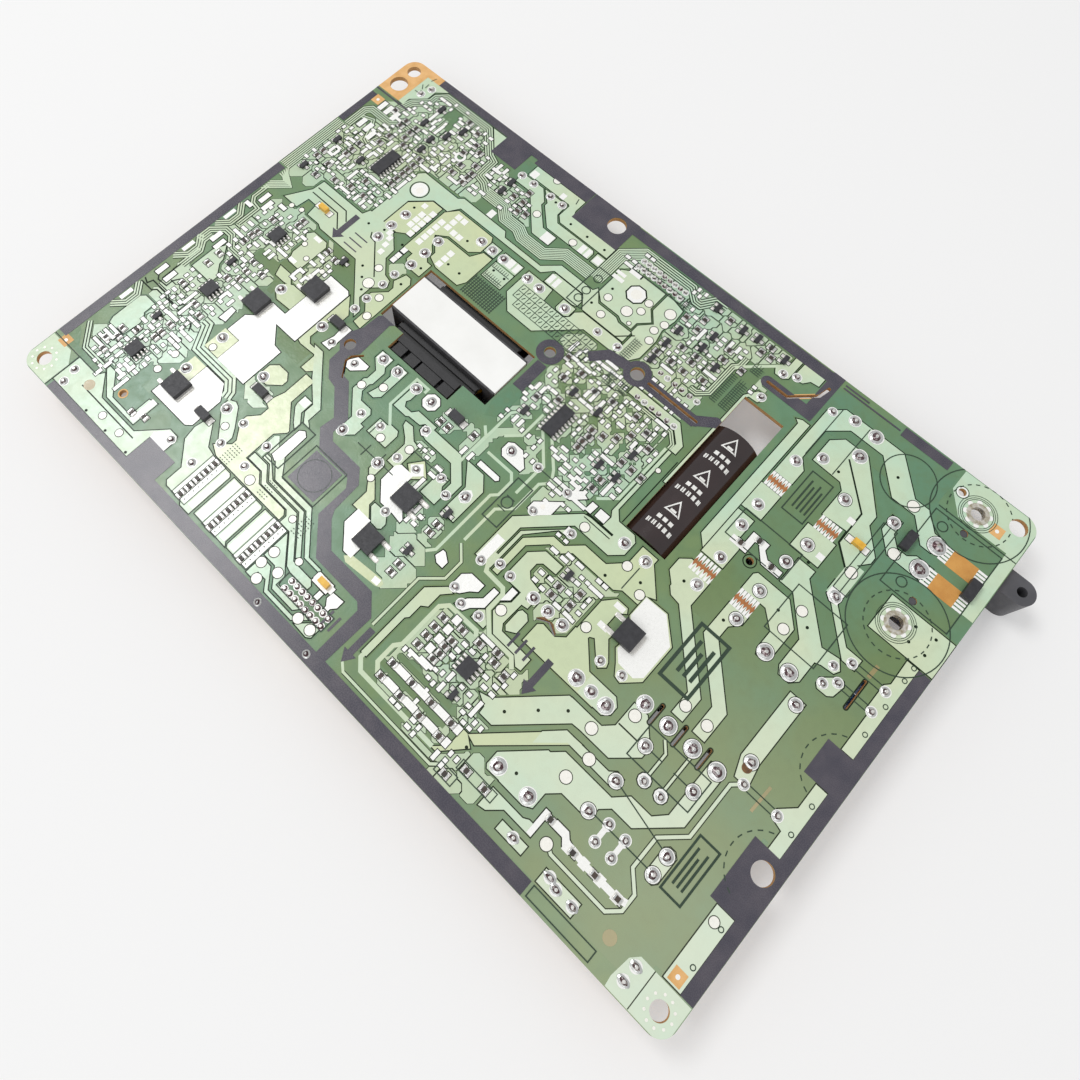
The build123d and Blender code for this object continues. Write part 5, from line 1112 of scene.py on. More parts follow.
def right():
    """Copper of the rectifier and its filter."""
    rects("bare", (178, 78, 221.5, 109.4), (215, 48, 236.3, 106), (189, 48, 221, 80))
    pours([(178, 86.3), (185, 86.3), (185, 78.6), (201.2, 62.2), (201.2, 55), (197.9, 55),
           (197.9, 61.4), (182.6, 76.9), (179.6, 77.3), (178, 79)],
          [(191.7, 86.3), (197.6, 86.3), (197.6, 83.8), (195.2, 81), (195.2, 77), (208, 63.8),
           (208, 55), (204.4, 55), (204.4, 62.8), (191.7, 75.6)],
          [(178, 92), (185, 92), (185, 99), (183.2, 101.6), (183.2, 108), (178, 108)],
          [(191.7, 96.5), (192.5, 97.5), (202.5, 97.5), (207.8, 92), (207.8, 83),
           (206.5, 80.5), (204.5, 80.5), (203.8, 82), (203.8, 87.5), (199.3, 91.5),
           (191.7, 91.5)],
          [(197.8, 108), (203, 108), (203, 105.5), (215.5, 93.2), (220.4, 94), (222.2, 91.6),
           (221.4, 90), (217.9, 89.6), (216.3, 89), (216.3, 82.5), (214.5, 80.5), (211.5, 80.5),
           (210.3, 82.5), (210.3, 91), (202, 99.8), (197.8, 99.8)],
          [(208, 110), (212.2, 110), (212.2, 105), (220, 97.5), (224.7, 97.5), (224.7, 94.2),
           (221, 94.2), (208, 107)],
          [(219.4, 86.8), (219.6, 85.1), (220.4, 84.3), (223.2, 84.4), (224.4, 85.4), (225.1, 89),
           (224.4, 90.1), (222.8, 90)],
          [(233, 105.4), (236.3, 105.4), (236.3, 76.7), (233, 76.7), (233, 88), (232, 88.8),
           (232, 96.4), (233.2, 97.8)],
          [(233.1, 66), (236.3, 66), (236.3, 47), (233.1, 47), (233.1, 52), (229.6, 53),
           (229.6, 55.2), (233.1, 58.8)],
          [(216.2, 59), (218, 54), (221.8, 54), (220.7, 60), (220.7, 79), (216.2, 79)],
          corners(231.5, 10.5, 236.3, 29.8))
    islets([(181.4, 99.4), (186.8, 99.4), (186.8, 105.6), (185, 105.6), (185, 101.6),
            (181.4, 101.6)],
           [(188.4, 105.6), (190.2, 105.6), (190.2, 103.6), (192.2, 101.9), (197, 101.9),
            (197, 99.9), (191.6, 99.9), (188.4, 103.4)],
           [(208.4, 108.4), (208.4, 105.6), (210, 104.4), (212.2, 104.6), (212.2, 108.4)])
    pads(1.4, (206.6, 97.3), (205.8, 90.3), (199.5, 58.4), (206.2, 58.4))
    pits((202, 93.3), (210, 94.8), (193.4, 81.5), (179.8, 82.4))
    for y in (105, 100.8, 92.3, 83.4, 61.3, 53, 26.4, 16.3):
        ring("silk", 235.2, y, 0.6, 0.24, 14)
    for x, y in ((235.5, 71.5), (235.3, 42)):
        ring("silk", x, y, 9.0, 0.28, 17, 110, 250, step=2)
    frame_box("silk", 0.32, 179.5, 100.3, 198, 109.5)
    frame_box("silk", 0.9, 190, 60, 198.8, 77)
    frame_box("silk", 0.55, 220, 23.5, 225.7, 38.3)
    for k in range(3):
        rect("silk", 192.2 + 2.0 * k, 63.5, 193.2 + 2.0 * k, 73.5 - 2.5 * (k % 2))
        rect("silk", 221.2 + 1.3 * k, 26, 221.8 + 1.3 * k, 36 - 2.0 * (k % 2))
    stroke("masked", 1.1, (228.2, 95.2), (228.4, 99.3))
    stroke("masked", 0.8, (225.4, 50.5), (225.7, 58))
    disc("flux", 219, 57.5, 1.3)
    frame_box("silk", 0.3, 201.9, 87.5, 217, 102.5)
    for x, y in ((225.6, 54), (228.4, 88.9), (228.25, 95.3)):
        stroke("silk", 0.28, (x - 3.6, y + 0.8), (x + 3.6, y + 0.8))
        stroke("silk", 0.28, (x - 3.6, y - 0.8), (x + 3.6, y - 0.8))


def bottom_left():
    """Copper round the fuse."""
    pour((12.3, 2.9), (46.8, 2.9), (46.8, 10.9), (53, 10.9), (53, 15), (52.3, 16.2),
         (49.2, 16.2), (42.3, 8.8), (27.3, 8.8), (21.6, 14.2), (20.4, 12.1), (12.3, 12.1))
    pour((21, 16.5), (23.4, 16.5), (29.4, 11), (37.6, 11), (37.6, 17.8), (40.4, 18.6),
         (40.4, 10), (28.2, 10), (21, 15.4))
    area("tin", (47, 11), (53, 11), (53, 15), (51.6, 16), (49.2, 15.6), (46.6, 12.6))
    rect("tin", 38.3, 10.4, 40.1, 18.6)
    area("bare", (26.4, 15.3), (28.8, 17.4), (28.8, 26), (32.4, 22), (32.4, 19), (36.2, 19),
         (36.2, 22.8), (38, 22.8), (38, 11.8), (29.8, 11.8))
    area("bare", (40.8, 9.4), (42, 9.4), (48.6, 16.6), (46.4, 19.2), (43, 18.9), (40.8, 14))
    area("bare", (3.6, 18.6), (3.6, 12.6), (20, 12.6), (20, 14), (9, 14.2), (5.6, 17.4))
    area("bare", (20, 12), (20, 7.5), (25.4, 7.5))
    bundle(0.5, 0.85, 2, (4.4, 21.5), (10.6, 15.2), (20, 15.2))
    stroke("channel", 0.4, (20, 7.35), (43.8, 7.35))
    lines("silk", 0.32, [(12, 0.2), (12, 12.2)], [(0.2, 12.2), (20, 12.2)])
    for k in range(4):
        blocks(4.6, 0.95, (12, 24.6 - 1.9 * k))
    pads(1.1, (32, 5.7), (39.7, 5.7), (31.5, 25.5), (31.3, 32), (37.5, 41))
    pits((27.4, 3.4), (36.3, 3.4), (45.7, 3.4))
    pours([(54, 31), (54, 33.4), (56, 34.4), (57.6, 33.8), (62, 28.8), (63.6, 26.6), (63.6, 24.4),
           (62, 23)],
          [(54.4, 17.4), (60.4, 11.4), (60.4, 6.4), (61.6, 5.4), (64.2, 5.4), (64.2, 19.6),
           (61, 20.2), (56, 26), (54.4, 26), (53.6, 21.5)])
    pads(1.1, (59.5, 27.5))


def bottom_middle():
    """Long tinned strips and the output headers' copper."""
    pads(1.4, (76.8, 22), (96.9, 13.5), (96.5, 9.4), (98.9, 5.7), (101.8, 10.5), (114.5, 6.4),
         (118.9, 6.5))
    pads(1.0, (103.6, 16.3), (100.2, 45.3), (93.6, 22.8))
    pours([(64.4, 5.4), (64.4, 19.4), (71.4, 19.4), (72.2, 18.6), (72.2, 4.4), (68.6, 4.4),
           (67.6, 5.4)],
          [(73.3, 5.6), (73.3, 19.4), (84.8, 19.4), (85.3, 18.8), (85.3, 6.4), (86.2, 5.4)],
          [(86.3, 6.4), (86.3, 19.4), (94.6, 19.4), (94.6, 5.6), (86.9, 5.6)],
          [(78.6, 33), (82.7, 28.4), (94.9, 28.4), (104.6, 18.8), (109.4, 18.8),
           (109.4, 18), (103.9, 18), (94.6, 26.9), (81.8, 26.9), (77.2, 31)],
          [(74.4, 30.2), (76, 30.2), (81.4, 26.2), (94.2, 26.2), (102.9, 17.4), (102.2, 16.4),
           (93.4, 25.4), (80.9, 25.4), (77.2, 28.9), (74.4, 28.9)],
          [(71.7, 28.1), (76.8, 28.1), (80.6, 24.6), (93.1, 24.6), (102.4, 15.3),
           (109.4, 15.3), (110.6, 14.2), (110.6, 13), (104, 12.9), (102.2, 13.4),
           (95.6, 20), (91.8, 20), (91.8, 22.2), (90.4, 23.5), (80, 23.5), (77.2, 26),
           (71.7, 26)],
          [(95.6, 19.2), (101.6, 13.1), (103.6, 11.2), (104.2, 8.5), (113.2, 8.5),
           (111.8, 6.8), (103.9, 6.8), (99.8, 11.3), (95.6, 11.3)],
          [(95.6, 10.3), (99.1, 10.3), (103.3, 5.7), (112.8, 5.7), (115, 8), (116.6, 7.8),
           (113.4, 4.8), (103, 4.8), (100.8, 7.2), (97.8, 7.2), (97.4, 5), (95.6, 5)],
          [(114.8, 4.8), (118.2, 8.2), (120.5, 8.2), (120.5, 5.4), (119.4, 4.6)],
          [(68.8, 46.4), (68.8, 49.2), (71.8, 49.2), (71.8, 45), (74.3, 42.4), (74.3, 40.4),
           (72.6, 41.6), (69.2, 45.2)])
    rects("tin", (69, 46.6, 71.6, 49), (82.9, 6.2, 85, 19), (86.9, 6, 89.2, 19), (70, 6, 72, 19),
          (73.7, 5.8, 76.6, 19.1))
    for x in (66.3, 79.3, 92.0):
        rect("bare", x - 1.15, 5.4, x + 1.15, 19.6)
        rects("tin", (x - 2.1, 5.5, x - 1.2, 19.5), (x + 1.2, 5.5, x + 2.9, 19.5))
        frame_box("silk", 0.22, x - 2.4, 5.1, x + 3.1, 19.7)
        for k in range(9):
            stroke("silk", 0.3, (x + 1.7, 6.2 + 1.6 * k), (x + 2.1, 6.2 + 1.6 * k))
    for x0, x1 in ((73.7, 76.6), (82.9, 85), (86.9, 89.2)):   # lines across the bare strips
        for y in (9.4, 12.9, 16.3):
            stroke("copper", 0.3, (x0, y), (x1, y))
    rect("bare", 103.4, 8.2, 121.6, 12.9)
    # a dark ring of painted shade round each header pin
    for x, y in header_pins():
        ring("channel", x, y, 0.92, 0.24, 20)
    frame_box("silk", 0.35, 74.3, 29.5, 79.8, 43.3)
    islets([(75.4, 31.2), (77.4, 30.4), (78.6, 32), (78.4, 41), (77, 42), (75.6, 41)])
    lines("channel", 0.4, [(75.6, 39.4), (78.2, 39.4)], [(75.6, 36.8), (78.2, 36.8)],
          [(75.6, 35.4), (78.2, 35.4)])
    islets(corners(109.6, 15.4, 115, 18.4),
           [(102.4, 52.4), (103.5, 53.8), (108.2, 53.8), (108.2, 45.3), (112.6, 45.3),
            (115, 43), (115, 42), (112, 42.4), (107.2, 42.4), (102.6, 47)],
           [(104.2, 37), (109, 37), (109.3, 30.2), (112.6, 30), (112.6, 26.4), (109.8, 26.4),
            (104.2, 32)],
           [(116.2, 17), (119.8, 17.3), (119.8, 15), (118.6, 13.6), (118.6, 12.6),
            (117.4, 12.6), (117.4, 13.4), (116, 15)],
           corners(113.2, 15, 114.6, 12.8))
    frame_box("silk", 0.35, 103.9, 8.2, 121.2, 12.7)
    rects("bare", (137.5, 13.1, 160, 14.5), (139.5, 17.4, 158, 18.6))
    for x0, y0 in ((65.6, 20.6), (80.8, 21.2), (95.6, 20.4)):
        for k in range(4):
            for n in range(7):
                x, y = x0 + 0.9 * k, y0 + 0.9 * n
                stroke("silk", 0.24, (x, y), (x0 + 0.5 + 0.9 * k, y))
    area("warm", (110.8, 25.6), (112.4, 27.2), (122.6, 28.2), (123.9, 27.6), (123.8, 26.4),
         (122.6, 25.8), (112.4, 24.7))
    stroke("tin", 1.7, (120.8, 26.8), (122.9, 27))


def bottom_right():
    """Copper of the converter and the printed arrows."""
    arrow(168.4, 43.4, 35.4, 32.4)
    arrow(130.4, 17.7, 9.8, 6.7)
    for x, y in ((165.6, 44), (127.4, 15)):
        for k in range(3):
            rect("print", x - 8 + 2.6 * k, y - 5.5, x - 7.3 + 2.6 * k, y - 1)
    rect("bare", 178, 4.4, 229, 15.8)
    rect("bare", 178, 11, 231, 54)
    pours([(178, 42.4), (185.8, 42.4), (187.5, 44), (187.5, 46.4), (185.8, 48.1), (178, 48.1)],
          [(178, 40.5), (187.6, 40.5), (190, 43), (190, 50.2), (194.2, 50.2), (197.6, 46.6),
           (199.3, 45), (199.3, 41.8), (193.5, 36.2), (181.4, 36.2), (178, 32.9)],
          [(178, 29.6), (182.2, 33.9), (195.6, 33.9), (197.2, 35.3), (199.4, 35),
           (199.6, 32.4), (198, 31.7), (184.2, 31.9), (178, 26)],
          [(178, 22.8), (185.2, 30), (199.8, 30), (203, 33.4), (209.2, 33.4), (212, 36.5),
           (212, 42.6), (211.4, 44.4), (212, 46.2), (212, 52.6), (216.2, 52.6), (216.2, 37),
           (207.4, 28.3), (201.4, 28.3), (199.1, 26), (199.1, 23.2), (197.8, 22.6),
           (190.6, 22.6), (187.8, 19.8), (187.8, 15.4), (185.6, 14.2), (178, 14.2)],
          [(215.6, 23.6), (216.6, 22.5), (218.2, 22.5), (219.1, 23.6), (219.1, 30.4),
           (218, 31.4), (216.6, 31.4), (215.6, 30.4)],
          [(178, 12.2), (187.6, 12.2), (189, 13), (191.6, 13), (191.6, 10.5), (183.2, 10.5),
           (180, 7.4), (178, 7)],
          corners(198.7, 4.7, 209.2, 8.3),
          corners(184.5, 6.2, 192.5, 8.6))
    bundle(0.8, 1.0, 1, (220, 53.4), (218.4, 51.8), (218.4, 36.3), (212.9, 30.8),
           (212.9, 22.2), (216.8, 18.2), (216.8, 13.8), (214, 11), (197.4, 11.1), (195.2, 12.6))
    bundle(0.6, 0.9, 1, (203, 40), (203, 46.4), (200.8, 48.8))
    bundle(0.6, 0.9, 1, (207.8, 40), (207.8, 49.8))
    stroke("channel", 0.4, (190.2, 43.9), (196, 43.9))
    lines("silk", 0.3, [(200, 44.4), (203.6, 44.4)], [(207, 44.4), (211, 44.4)],
          [(199.8, 33.3), (215.3, 29.9)], [(199.2, 24.4), (215.5, 24.4)])
    frame_box("silk", 0.32, 196.1, 40, 214.8, 49)
    islets(regular(203, 38.3, 1.7, 10), regular(208, 38.3, 1.7, 10))
    pads(1.5, (190.4, 32.7), (189, 25.9), (192, 48), (186.2, 38.4), (195.3, 12))
    for x in (203.1, 208.1):
        stroke("tin", 1.3, (x, 24.7), (x, 20.2))
        disc("tin", x, 24.7, 1.25)
        disc("tin", x, 20.2, 1.25)
    for k in range(4):
        rect("tin", 198.3 + 4.9 * k, 13.7, 200.4 + 4.9 * k, 16.2)
    islets(corners(190.2, 10.6, 191.6, 17.6),
           [(193.8, 15.6), (197, 15.6), (198.2, 14.2), (199.8, 14.2), (199.8, 16), (198.6, 16.4),
            (197.4, 17.6), (193.8, 17.6)])
    lines("tin", 1.7, [(200.4, 15.4), (204.6, 14.9), (213.5, 14.9), (216.6, 15.6)])
    frame_box("silk", 0.3, 199, 0.9, 217.7, 3.8)
    pads(1.2, (233.2, 26.5))
    pours([(154, 42), (155, 41), (157.4, 42.4), (157.4, 46.6), (156.2, 47.7), (154.6, 47.7),
           (154, 46.8)],
          [(151.2, 52.4), (153.4, 50.2), (155.2, 51.4), (155.2, 48.9), (153.4, 48.6),
           (153.2, 41.8), (154.4, 40.2), (164.4, 40), (164.4, 36.4), (162.8, 36.2),
           (160.6, 38.2), (153.2, 38.2), (149.2, 42.4), (149.2, 45.2), (151.2, 47.2)],
          [(146.2, 37.4), (146.2, 40), (147.6, 41.2), (150.4, 38.6), (150.4, 37.4)],
          [(132.2, 34.4), (136.6, 38.8), (138.6, 38.4), (136.4, 35.9), (136.4, 31.6),
           (134.8, 30.4), (134.8, 26.4), (134, 25.4), (134, 12), (132.2, 12)],
          [(160.7, 25.6), (163.6, 26.5), (177.3, 40.4), (187, 40.4), (187, 36.4), (182, 36),
           (168, 22.1), (164, 22.1), (163.8, 24)],
          [(173.3, 15), (173.3, 18.6), (182, 27.4), (186, 27.4), (186, 14.6), (174, 14.2)])
    warm_pours([(159.7, 42.2), (159.7, 47.8), (160.8, 48.8), (165, 48.4), (167.3, 50.4),
                (167.3, 54), (171.2, 54.2), (177, 48.1), (183, 48), (183, 42.2)],
               [(165.4, 16.6), (168.2, 15.8), (187, 34), (182.4, 33.8)],
               [(163.8, 16.6), (165.2, 16.6), (168, 14.6), (162.4, 8.4), (160.8, 8.4),
                (163.8, 11.4)])
    islets([(136.7, 40), (136.7, 43.6), (138.6, 45.5), (143.1, 45.5), (143.1, 43.2),
            (141.4, 41.8), (139.8, 39.6), (138.4, 38.9)],
           [(128.7, 44.8), (129.6, 44.8), (131.9, 43.2), (131.9, 41.2), (129.8, 41.2),
            (128.2, 42.4)],
           [(140.8, 36.9), (143.4, 36.9), (144.4, 38.8), (147.1, 41.4), (147.1, 46.8),
            (145.4, 46.8), (145.2, 42.9), (142.2, 40)],
           [(148.7, 50.2), (150.6, 50.2), (150.6, 47.4), (148.7, 45.6)])
    climb = [(129.4, 18.5), (129.4, 35), (134.4, 39.8), (134.4, 45.8), (130.8, 49.4)]
    foot = [(132.6, 5.4), (163.4, 5.4), (165.4, 7.2)]
    lines("rim", 1.1, climb, foot)
    lines("copper", 0.7, climb, [(130.6, 7)] + foot)
    lines("copper", 1.2, [(133.1, 12), (133.1, 11), (135.6, 8.6), (161, 8.6)],
          [(139.2, 11), (137, 13.2), (137, 18.6), (138.4, 20.4), (138.4, 33.6), (140.2, 35.6),
           (149.6, 35.8), (150.6, 34.6)],
          [(139.8, 54), (139.8, 50.4), (140.8, 48.6), (147, 48.4), (148.1, 47.2), (148.1, 41.8),
           (152.7, 37.3), (160.4, 37.3), (162.6, 35)])
    for x in (143.5, 150.3, 157.2):
        for y in (15.6, 11.5):
            edged_pad(x, y, 2.0, 0.95)
    for y in (15.6, 11.5):
        edged_pad(162.9, y, 0.8, 1.1)
    for y in (34.2, 31, 27.8, 24.6):
        edged_pad(144.2, y, 1.0, 1.1)
    edged_pad(144, 20.6, 3.4, 0.5)
    stroke("flux", 0.8, (158.8, 48.8), (160, 50), (162.6, 50.2), (164.6, 48.8))
    pads(1.4, (150.6, 43.9))
    pits((179.4, 37.5), (174, 32.5), (168.2, 26.5), (179.9, 18.3), (167.2, 14.2))
    frame_box("silk", 0.28, 164.9, 5.2, 170.4, 7.9)
    frame_box("silk", 0.28, 168.6, 9.2, 179.8, 11.8)


for draw in (edges_and_corners, slot_rims, isolation, top_left, top_middle, top_right, middle_left,
             middle, right, bottom_left, bottom_middle, bottom_right):
    draw()

# ------------------------------------------------------------ copper that fills the rest
PITCH = 0.8                   # millimetres between the points that copper can take
REACH = 0.28                  # how far copper goes towards a point that isn't its own
COLUMNS = int(BOARD_X / PITCH) + 1
ROWS = int(BOARD_Y / PITCH) + 1
EDGE = 3.4                    # bare margin round the board
RING = ((1, 0), (1, 1), (0, 1), (-1, 1), (-1, 0), (-1, -1), (0, -1), (1, -1))   # steps round


def inside(outline, x, y):
    """Whether a point of the drawing lies in an outline."""
    hit = False
    x1, y1 = outline[-1]
    for x2, y2 in outline:
        if (y1 > y) != (y2 > y) and x < (x2 - x1) * (y - y1) / (y2 - y1) + x1:
            hit = not hit
        x1, y1 = x2, y2
    return hit


def cover(taken, outline, mark):
    """Marks the grid points in an outline."""
    x0, y0, x1, y1 = extent(outline)
    for i in range(max(0, int(x0 / PITCH)), min(COLUMNS, int(x1 / PITCH) + 2)):
        for j in range(max(0, int(y0 / PITCH)), min(ROWS, int(y1 / PITCH) + 2)):
            if inside(outline, i * PITCH, j * PITCH):
                taken[i][j] = mark


BLOCKED = -1
FREE = 0
TRACK_LIMIT = 46              # the longest search for another pad, in grid steps
TURN_COST = 0.55              # a bend in a track counts as this much more way
STRAY_COST = 0.35             # up to this much more by chance, so that tracks wander
OWN_COST = 0.4                # for following the track's own copper
JOIN_CHANCE = 0.6             # that two pads joined by a track share one net
PAD_ROOM = 1.75               # millimetres between a spare pad and its neighbours
PAD_TRIES = 60                # places tried for each pair
# how freely copper swells: x0, y0, x1, y1, steps outwards, share of steps left open
DISTRICTS = [(0, 0, 240, 160, 6, 0.02), (60, 44, 126, 82, 2, 0.1), (178, 0, 240, 160, 1, 0.1),
             (112, 78, 150, 112, 2, 0.12), (134, 6, 166, 20, 2, 0.12)]


def freedom(x, y):
    """How far copper swells at a place, and the share left open: the last district that fits."""
    chosen = DISTRICTS[0]
    for district in DISTRICTS:
        x0, y0, x1, y1 = district[:4]
        if x0 <= x < x1 and y0 <= y < y1:
            chosen = district
    return chosen[4:]


SOLDERED = ("chip_ends", "small_transistor_leads", "controller_leads", "solder_joints")
# where small pads stand close together: x0, y0, x1, y1, how many pairs
CROWDED = [(14, 104, 36, 154, 60), (4, 104, 14, 124, 14), (36, 132, 58, 154, 22),
           (58, 136, 74, 150, 10), (12, 42, 28, 86, 40), (28, 72, 46, 90, 8),
           (14, 14, 29, 40, 26), (106, 146, 132, 156, 6), (113, 84, 152, 116, 52),
           (151, 106, 159.5, 141, 16), (120, 108, 152, 147, 34), (126, 74, 150, 84, 8),
           (104, 44, 118, 70, 10), (140, 20, 165, 38, 16), (146, 7, 168, 20, 8),
           (145, 54, 166, 70, 16)]
# tinned spots without a part: x, y, radius
LOOSE_JOINTS = ((220.3, 91.6, 1.2), (220.7, 86.2, 1.25), (103.8, 1.9, 1.15), (122.7, 1.9, 1.15))
WIDE_FOOT = 0.8               # millimetres; the radius from which a joint counts as wide
RINGED_FOOT = 1.35            # and from which it has a dark ring of painted shade, right of RINGED_FROM
RINGED_FROM = 195


def seats():
    """Tinned pads under everything that is soldered."""
    for node, margin in (("chip_ends", 0.3), ("small_transistor_leads", 0.3),
                         ("controller_leads", 0.16)):
        for plan in plans(node, margin):
            edged_pad(*plan)
    for x, y, foot, _ in plans("solder_joints"):
        disc("tin", x, y, foot + (0.25 if foot > WIDE_FOOT else 0.1))
        # a dark ring of painted shade round the wide joints on the right
        if foot > RINGED_FOOT and x > RINGED_FROM:
            ring("channel", x, y, foot + 0.32, 0.24, 24)
    for x, y, foot in LOOSE_JOINTS:
        disc("tin", x, y, foot + 0.25)
    for x, y, _, _ in plans("tantalum_capacitors"):
        for side in (-2.4, 2.4):
            edged_pad(x + side, y, 0.9, 0.95)


def spare_pads(taken, dice):
    """Pairs of small tinned pads on free ground in the crowded parts."""
    solid = [(x, y) for node in SOLDERED for x, y, _, _ in plans(node)]
    found = []
    for x0, y0, x1, y1, count in CROWDED:
        tries = 0
        made = 0
        while made < count and tries < PAD_TRIES * count:
            tries += 1
            x, y = dice.uniform(x0, x1), dice.uniform(y0, y1)
            along = dice.random() < 0.5
            span = dice.choice((1.0, 1.3, 1.7))
            wide, tall = dice.choice(((1.3, 1.0), (1.6, 1.1), (1.0, 1.4), (2.4, 1.1), (1.1, 2.6)))
            pair = [(x - span, y), (x + span, y)] if along else [(x, y - span), (x, y + span)]
            cells = [(round(a / PITCH), round(b / PITCH)) for a, b in pair]
            if any(taken[i][j] != FREE for i, j in cells):
                continue
            if any(math.hypot(a - c, b - d) < PAD_ROOM for a, b in pair for c, d in solid):
                continue
            made += 1
            for a, b in pair:
                solid.append((a, b))
                found.append((a, b))
                edged_pad(a, b, wide / 2, tall / 2)
    return found


def open_ground():
    """The grid points, free where no drawn shape, opening or edge lies."""
    taken = [[FREE] * ROWS for _ in range(COLUMNS)]
    for i in range(COLUMNS):
        for j in range(ROWS):
            x, y = i * PITCH, j * PITCH
            if not (EDGE < x < BOARD_X - EDGE and EDGE < y < BOARD_Y - EDGE):
                taken[i][j] = BLOCKED
    for layer in ("print", "laminate", "copper", "warm", "bare", "tin"):
        for outline in layers.get(layer, []):
            cover(taken, outline, BLOCKED)
    for _, loop in openings:
        cover(taken, loop, BLOCKED)
    return taken


def head(family, net):
    """The net that a joined net belongs to."""
    while family[net] != net:
        net = family[net]
    return net


def find_track(taken, family, start, net, dice):
    """The cheapest way from a pad to another net, from its far end; empty if all are far."""
    queue = [(0.0, start, None)]
    best = {start: (0.0, None)}
    while queue:
        cost, here, way = heapq.heappop(queue)
        if cost > TRACK_LIMIT:
            return []
        owner = taken[here[0]][here[1]]
        if owner > 0 and head(family, owner) != net:
            track = []
            while here is not None:
                track.append(here)
                here = best[here][1]
            return track
        for step in RING:
            i, j = here[0] + step[0], here[1] + step[1]
            if not (0 <= i < COLUMNS and 0 <= j < ROWS) or taken[i][j] == BLOCKED:
                continue
            slanted = step[0] and step[1]
            if slanted and (taken[here[0]][j] > 0 or taken[i][here[1]] > 0):
                continue
            price = cost + math.hypot(*step) + (0.0 if way == step else TURN_COST)
            price += STRAY_COST * dice.random()
            if taken[i][j] > 0 and head(family, taken[i][j]) == net:
                price += OWN_COST
            if (i, j) not in best or best[(i, j)][0] > price:
                best[(i, j)] = (price, here)
                heapq.heappush(queue, (price, (i, j), step))
    return []


def lay_tracks(taken, terminals, dice):
    """A track from each pad to another pad near it."""
    family = list(range(len(terminals) + 1))
    order = list(range(len(terminals)))
    dice.shuffle(order)
    for number in order:
        net = head(family, number + 1)
        track = find_track(taken, family, terminals[number], net, dice)
        if not track:
            continue
        far_i, far_j = track[0]
        other = head(family, taken[far_i][far_j])
        for i, j in track[1:]:
            if taken[i][j] == FREE:
                taken[i][j] = net
        if dice.random() < JOIN_CHANCE:
            family[other] = net
    for i in range(COLUMNS):
        for j in range(ROWS):
            if taken[i][j] > 0:
                taken[i][j] = head(family, taken[i][j])


def swell_copper(taken, dice):
    """Copper swells from tracks and pads into the free ground, one step at a time."""
    front = [(i, j) for i in range(COLUMNS) for j in range(ROWS) if taken[i][j] > 0]
    depth = 0
    while front:
        following = []
        for i, j in front:
            for di, dj in RING[::2]:
                p, q = i + di, j + dj
                if not (0 <= p < COLUMNS and 0 <= q < ROWS) or taken[p][q] != FREE:
                    continue
                swell, open_share = freedom(p * PITCH, q * PITCH)
                if depth < swell and dice.random() > open_share:
                    taken[p][q] = taken[i][j]
                    following.append((p, q))
        front = following
        depth += 1


def grow_copper():
    """Tracks between neighbouring pads, swollen into the free ground beside them."""
    dice = random.Random(7)
    taken = open_ground()
    seats()
    terminals = []
    places = [(x, y) for node in SOLDERED for x, y, _, _ in plans(node)]
    for x, y in places + spare_pads(taken, dice):
        i, j = round(x / PITCH), round(y / PITCH)
        if 0 <= i < COLUMNS and 0 <= j < ROWS and taken[i][j] == FREE:
            terminals.append((i, j))
            taken[i][j] = len(terminals)
    lay_tracks(taken, terminals, dice)
    swell_copper(taken, dice)
    return taken


def trace_copper(taken, reach):
    """The outlines of the copper in each square of four grid points."""
    outlines = []
    for i in range(COLUMNS - 1):
        for j in range(ROWS - 1):
            square = corners(i, j, i + 1, j + 1)
            owners = [taken[a][b] for a, b in square]
            for owner in set(owners):
                if owner <= 0:
                    continue
                mine = [value == owner for value in owners]
                points = []
                for k in range(4):
                    n = (k + 1) % 4
                    a, b = square[k], square[n]
                    if mine[k]:
                        points.append((a[0] * PITCH, a[1] * PITCH))
                    if mine[k] != mine[n]:
                        share = reach if mine[k] else 1 - reach
                        points.append(((a[0] + (b[0] - a[0]) * share) * PITCH,
                                       (a[1] + (b[1] - a[1]) * share) * PITCH))
                if len(points) > 2:
                    outlines.append(points)
    return outlines


grown_copper = grow_copper()
layers["auto"] = trace_copper(grown_copper, REACH)
# painted shade: the gap layer is a dark line where two pieces of grown copper meet
layers["gap"] = trace_copper(grown_copper, 0.5)
# the gap and rim layers take the channel's dark finish, which is painted shade
for layer, like in (("auto", "fine_copper"), ("gap", "channel"), ("rim", "channel")):
    layer_materials[layer] = layer_materials[like]


# ------------------------------------------------------------ flat shapes into meshes
def facing(outline):
    """An outline with its corners in counter-clockwise order."""
    turn = sum(a[0] * b[1] - b[0] * a[1] for a, b in zip(outline, outline[1:] + outline[:1]))
    return outline if turn > 0 else outline[::-1]


def clipped(outline):
    """The pieces of an outline on the board and clear of its openings."""
    outline = facing(outline)
    x0, y0, x1, y1 = extent(outline)
    near = [facing(loop) for (a0, b0, a1, b1), loop in openings
            if a0 < x1 and a1 > x0 and b0 < y1 and b1 > y0]
    over = not all(inside(board_outline, x, y) for x, y in outline)
    if not near and not over:
        return [outline]
    points = [Vector(point) for point in outline]
    faces = [list(range(len(outline)))]
    for loop in near:
        faces.append(list(range(len(points), len(points) + len(loop))))
        points.extend(Vector(point) for point in loop)
    board = len(faces)
    if over:
        faces.append(list(range(len(points), len(points) + len(board_outline))))
        points.extend(Vector(point) for point in facing(board_outline))
    made = delaunay_2d_cdt(points, [], faces, 0, 1e-5)
    kept = []
    for face, sources in zip(made[2], made[5]):
        holed = any(0 < source < board for source in sources)
        if 0 in sources and not holed and (board in sources or not over):
            kept.append([tuple(made[0][corner]) for corner in face])
    return kept


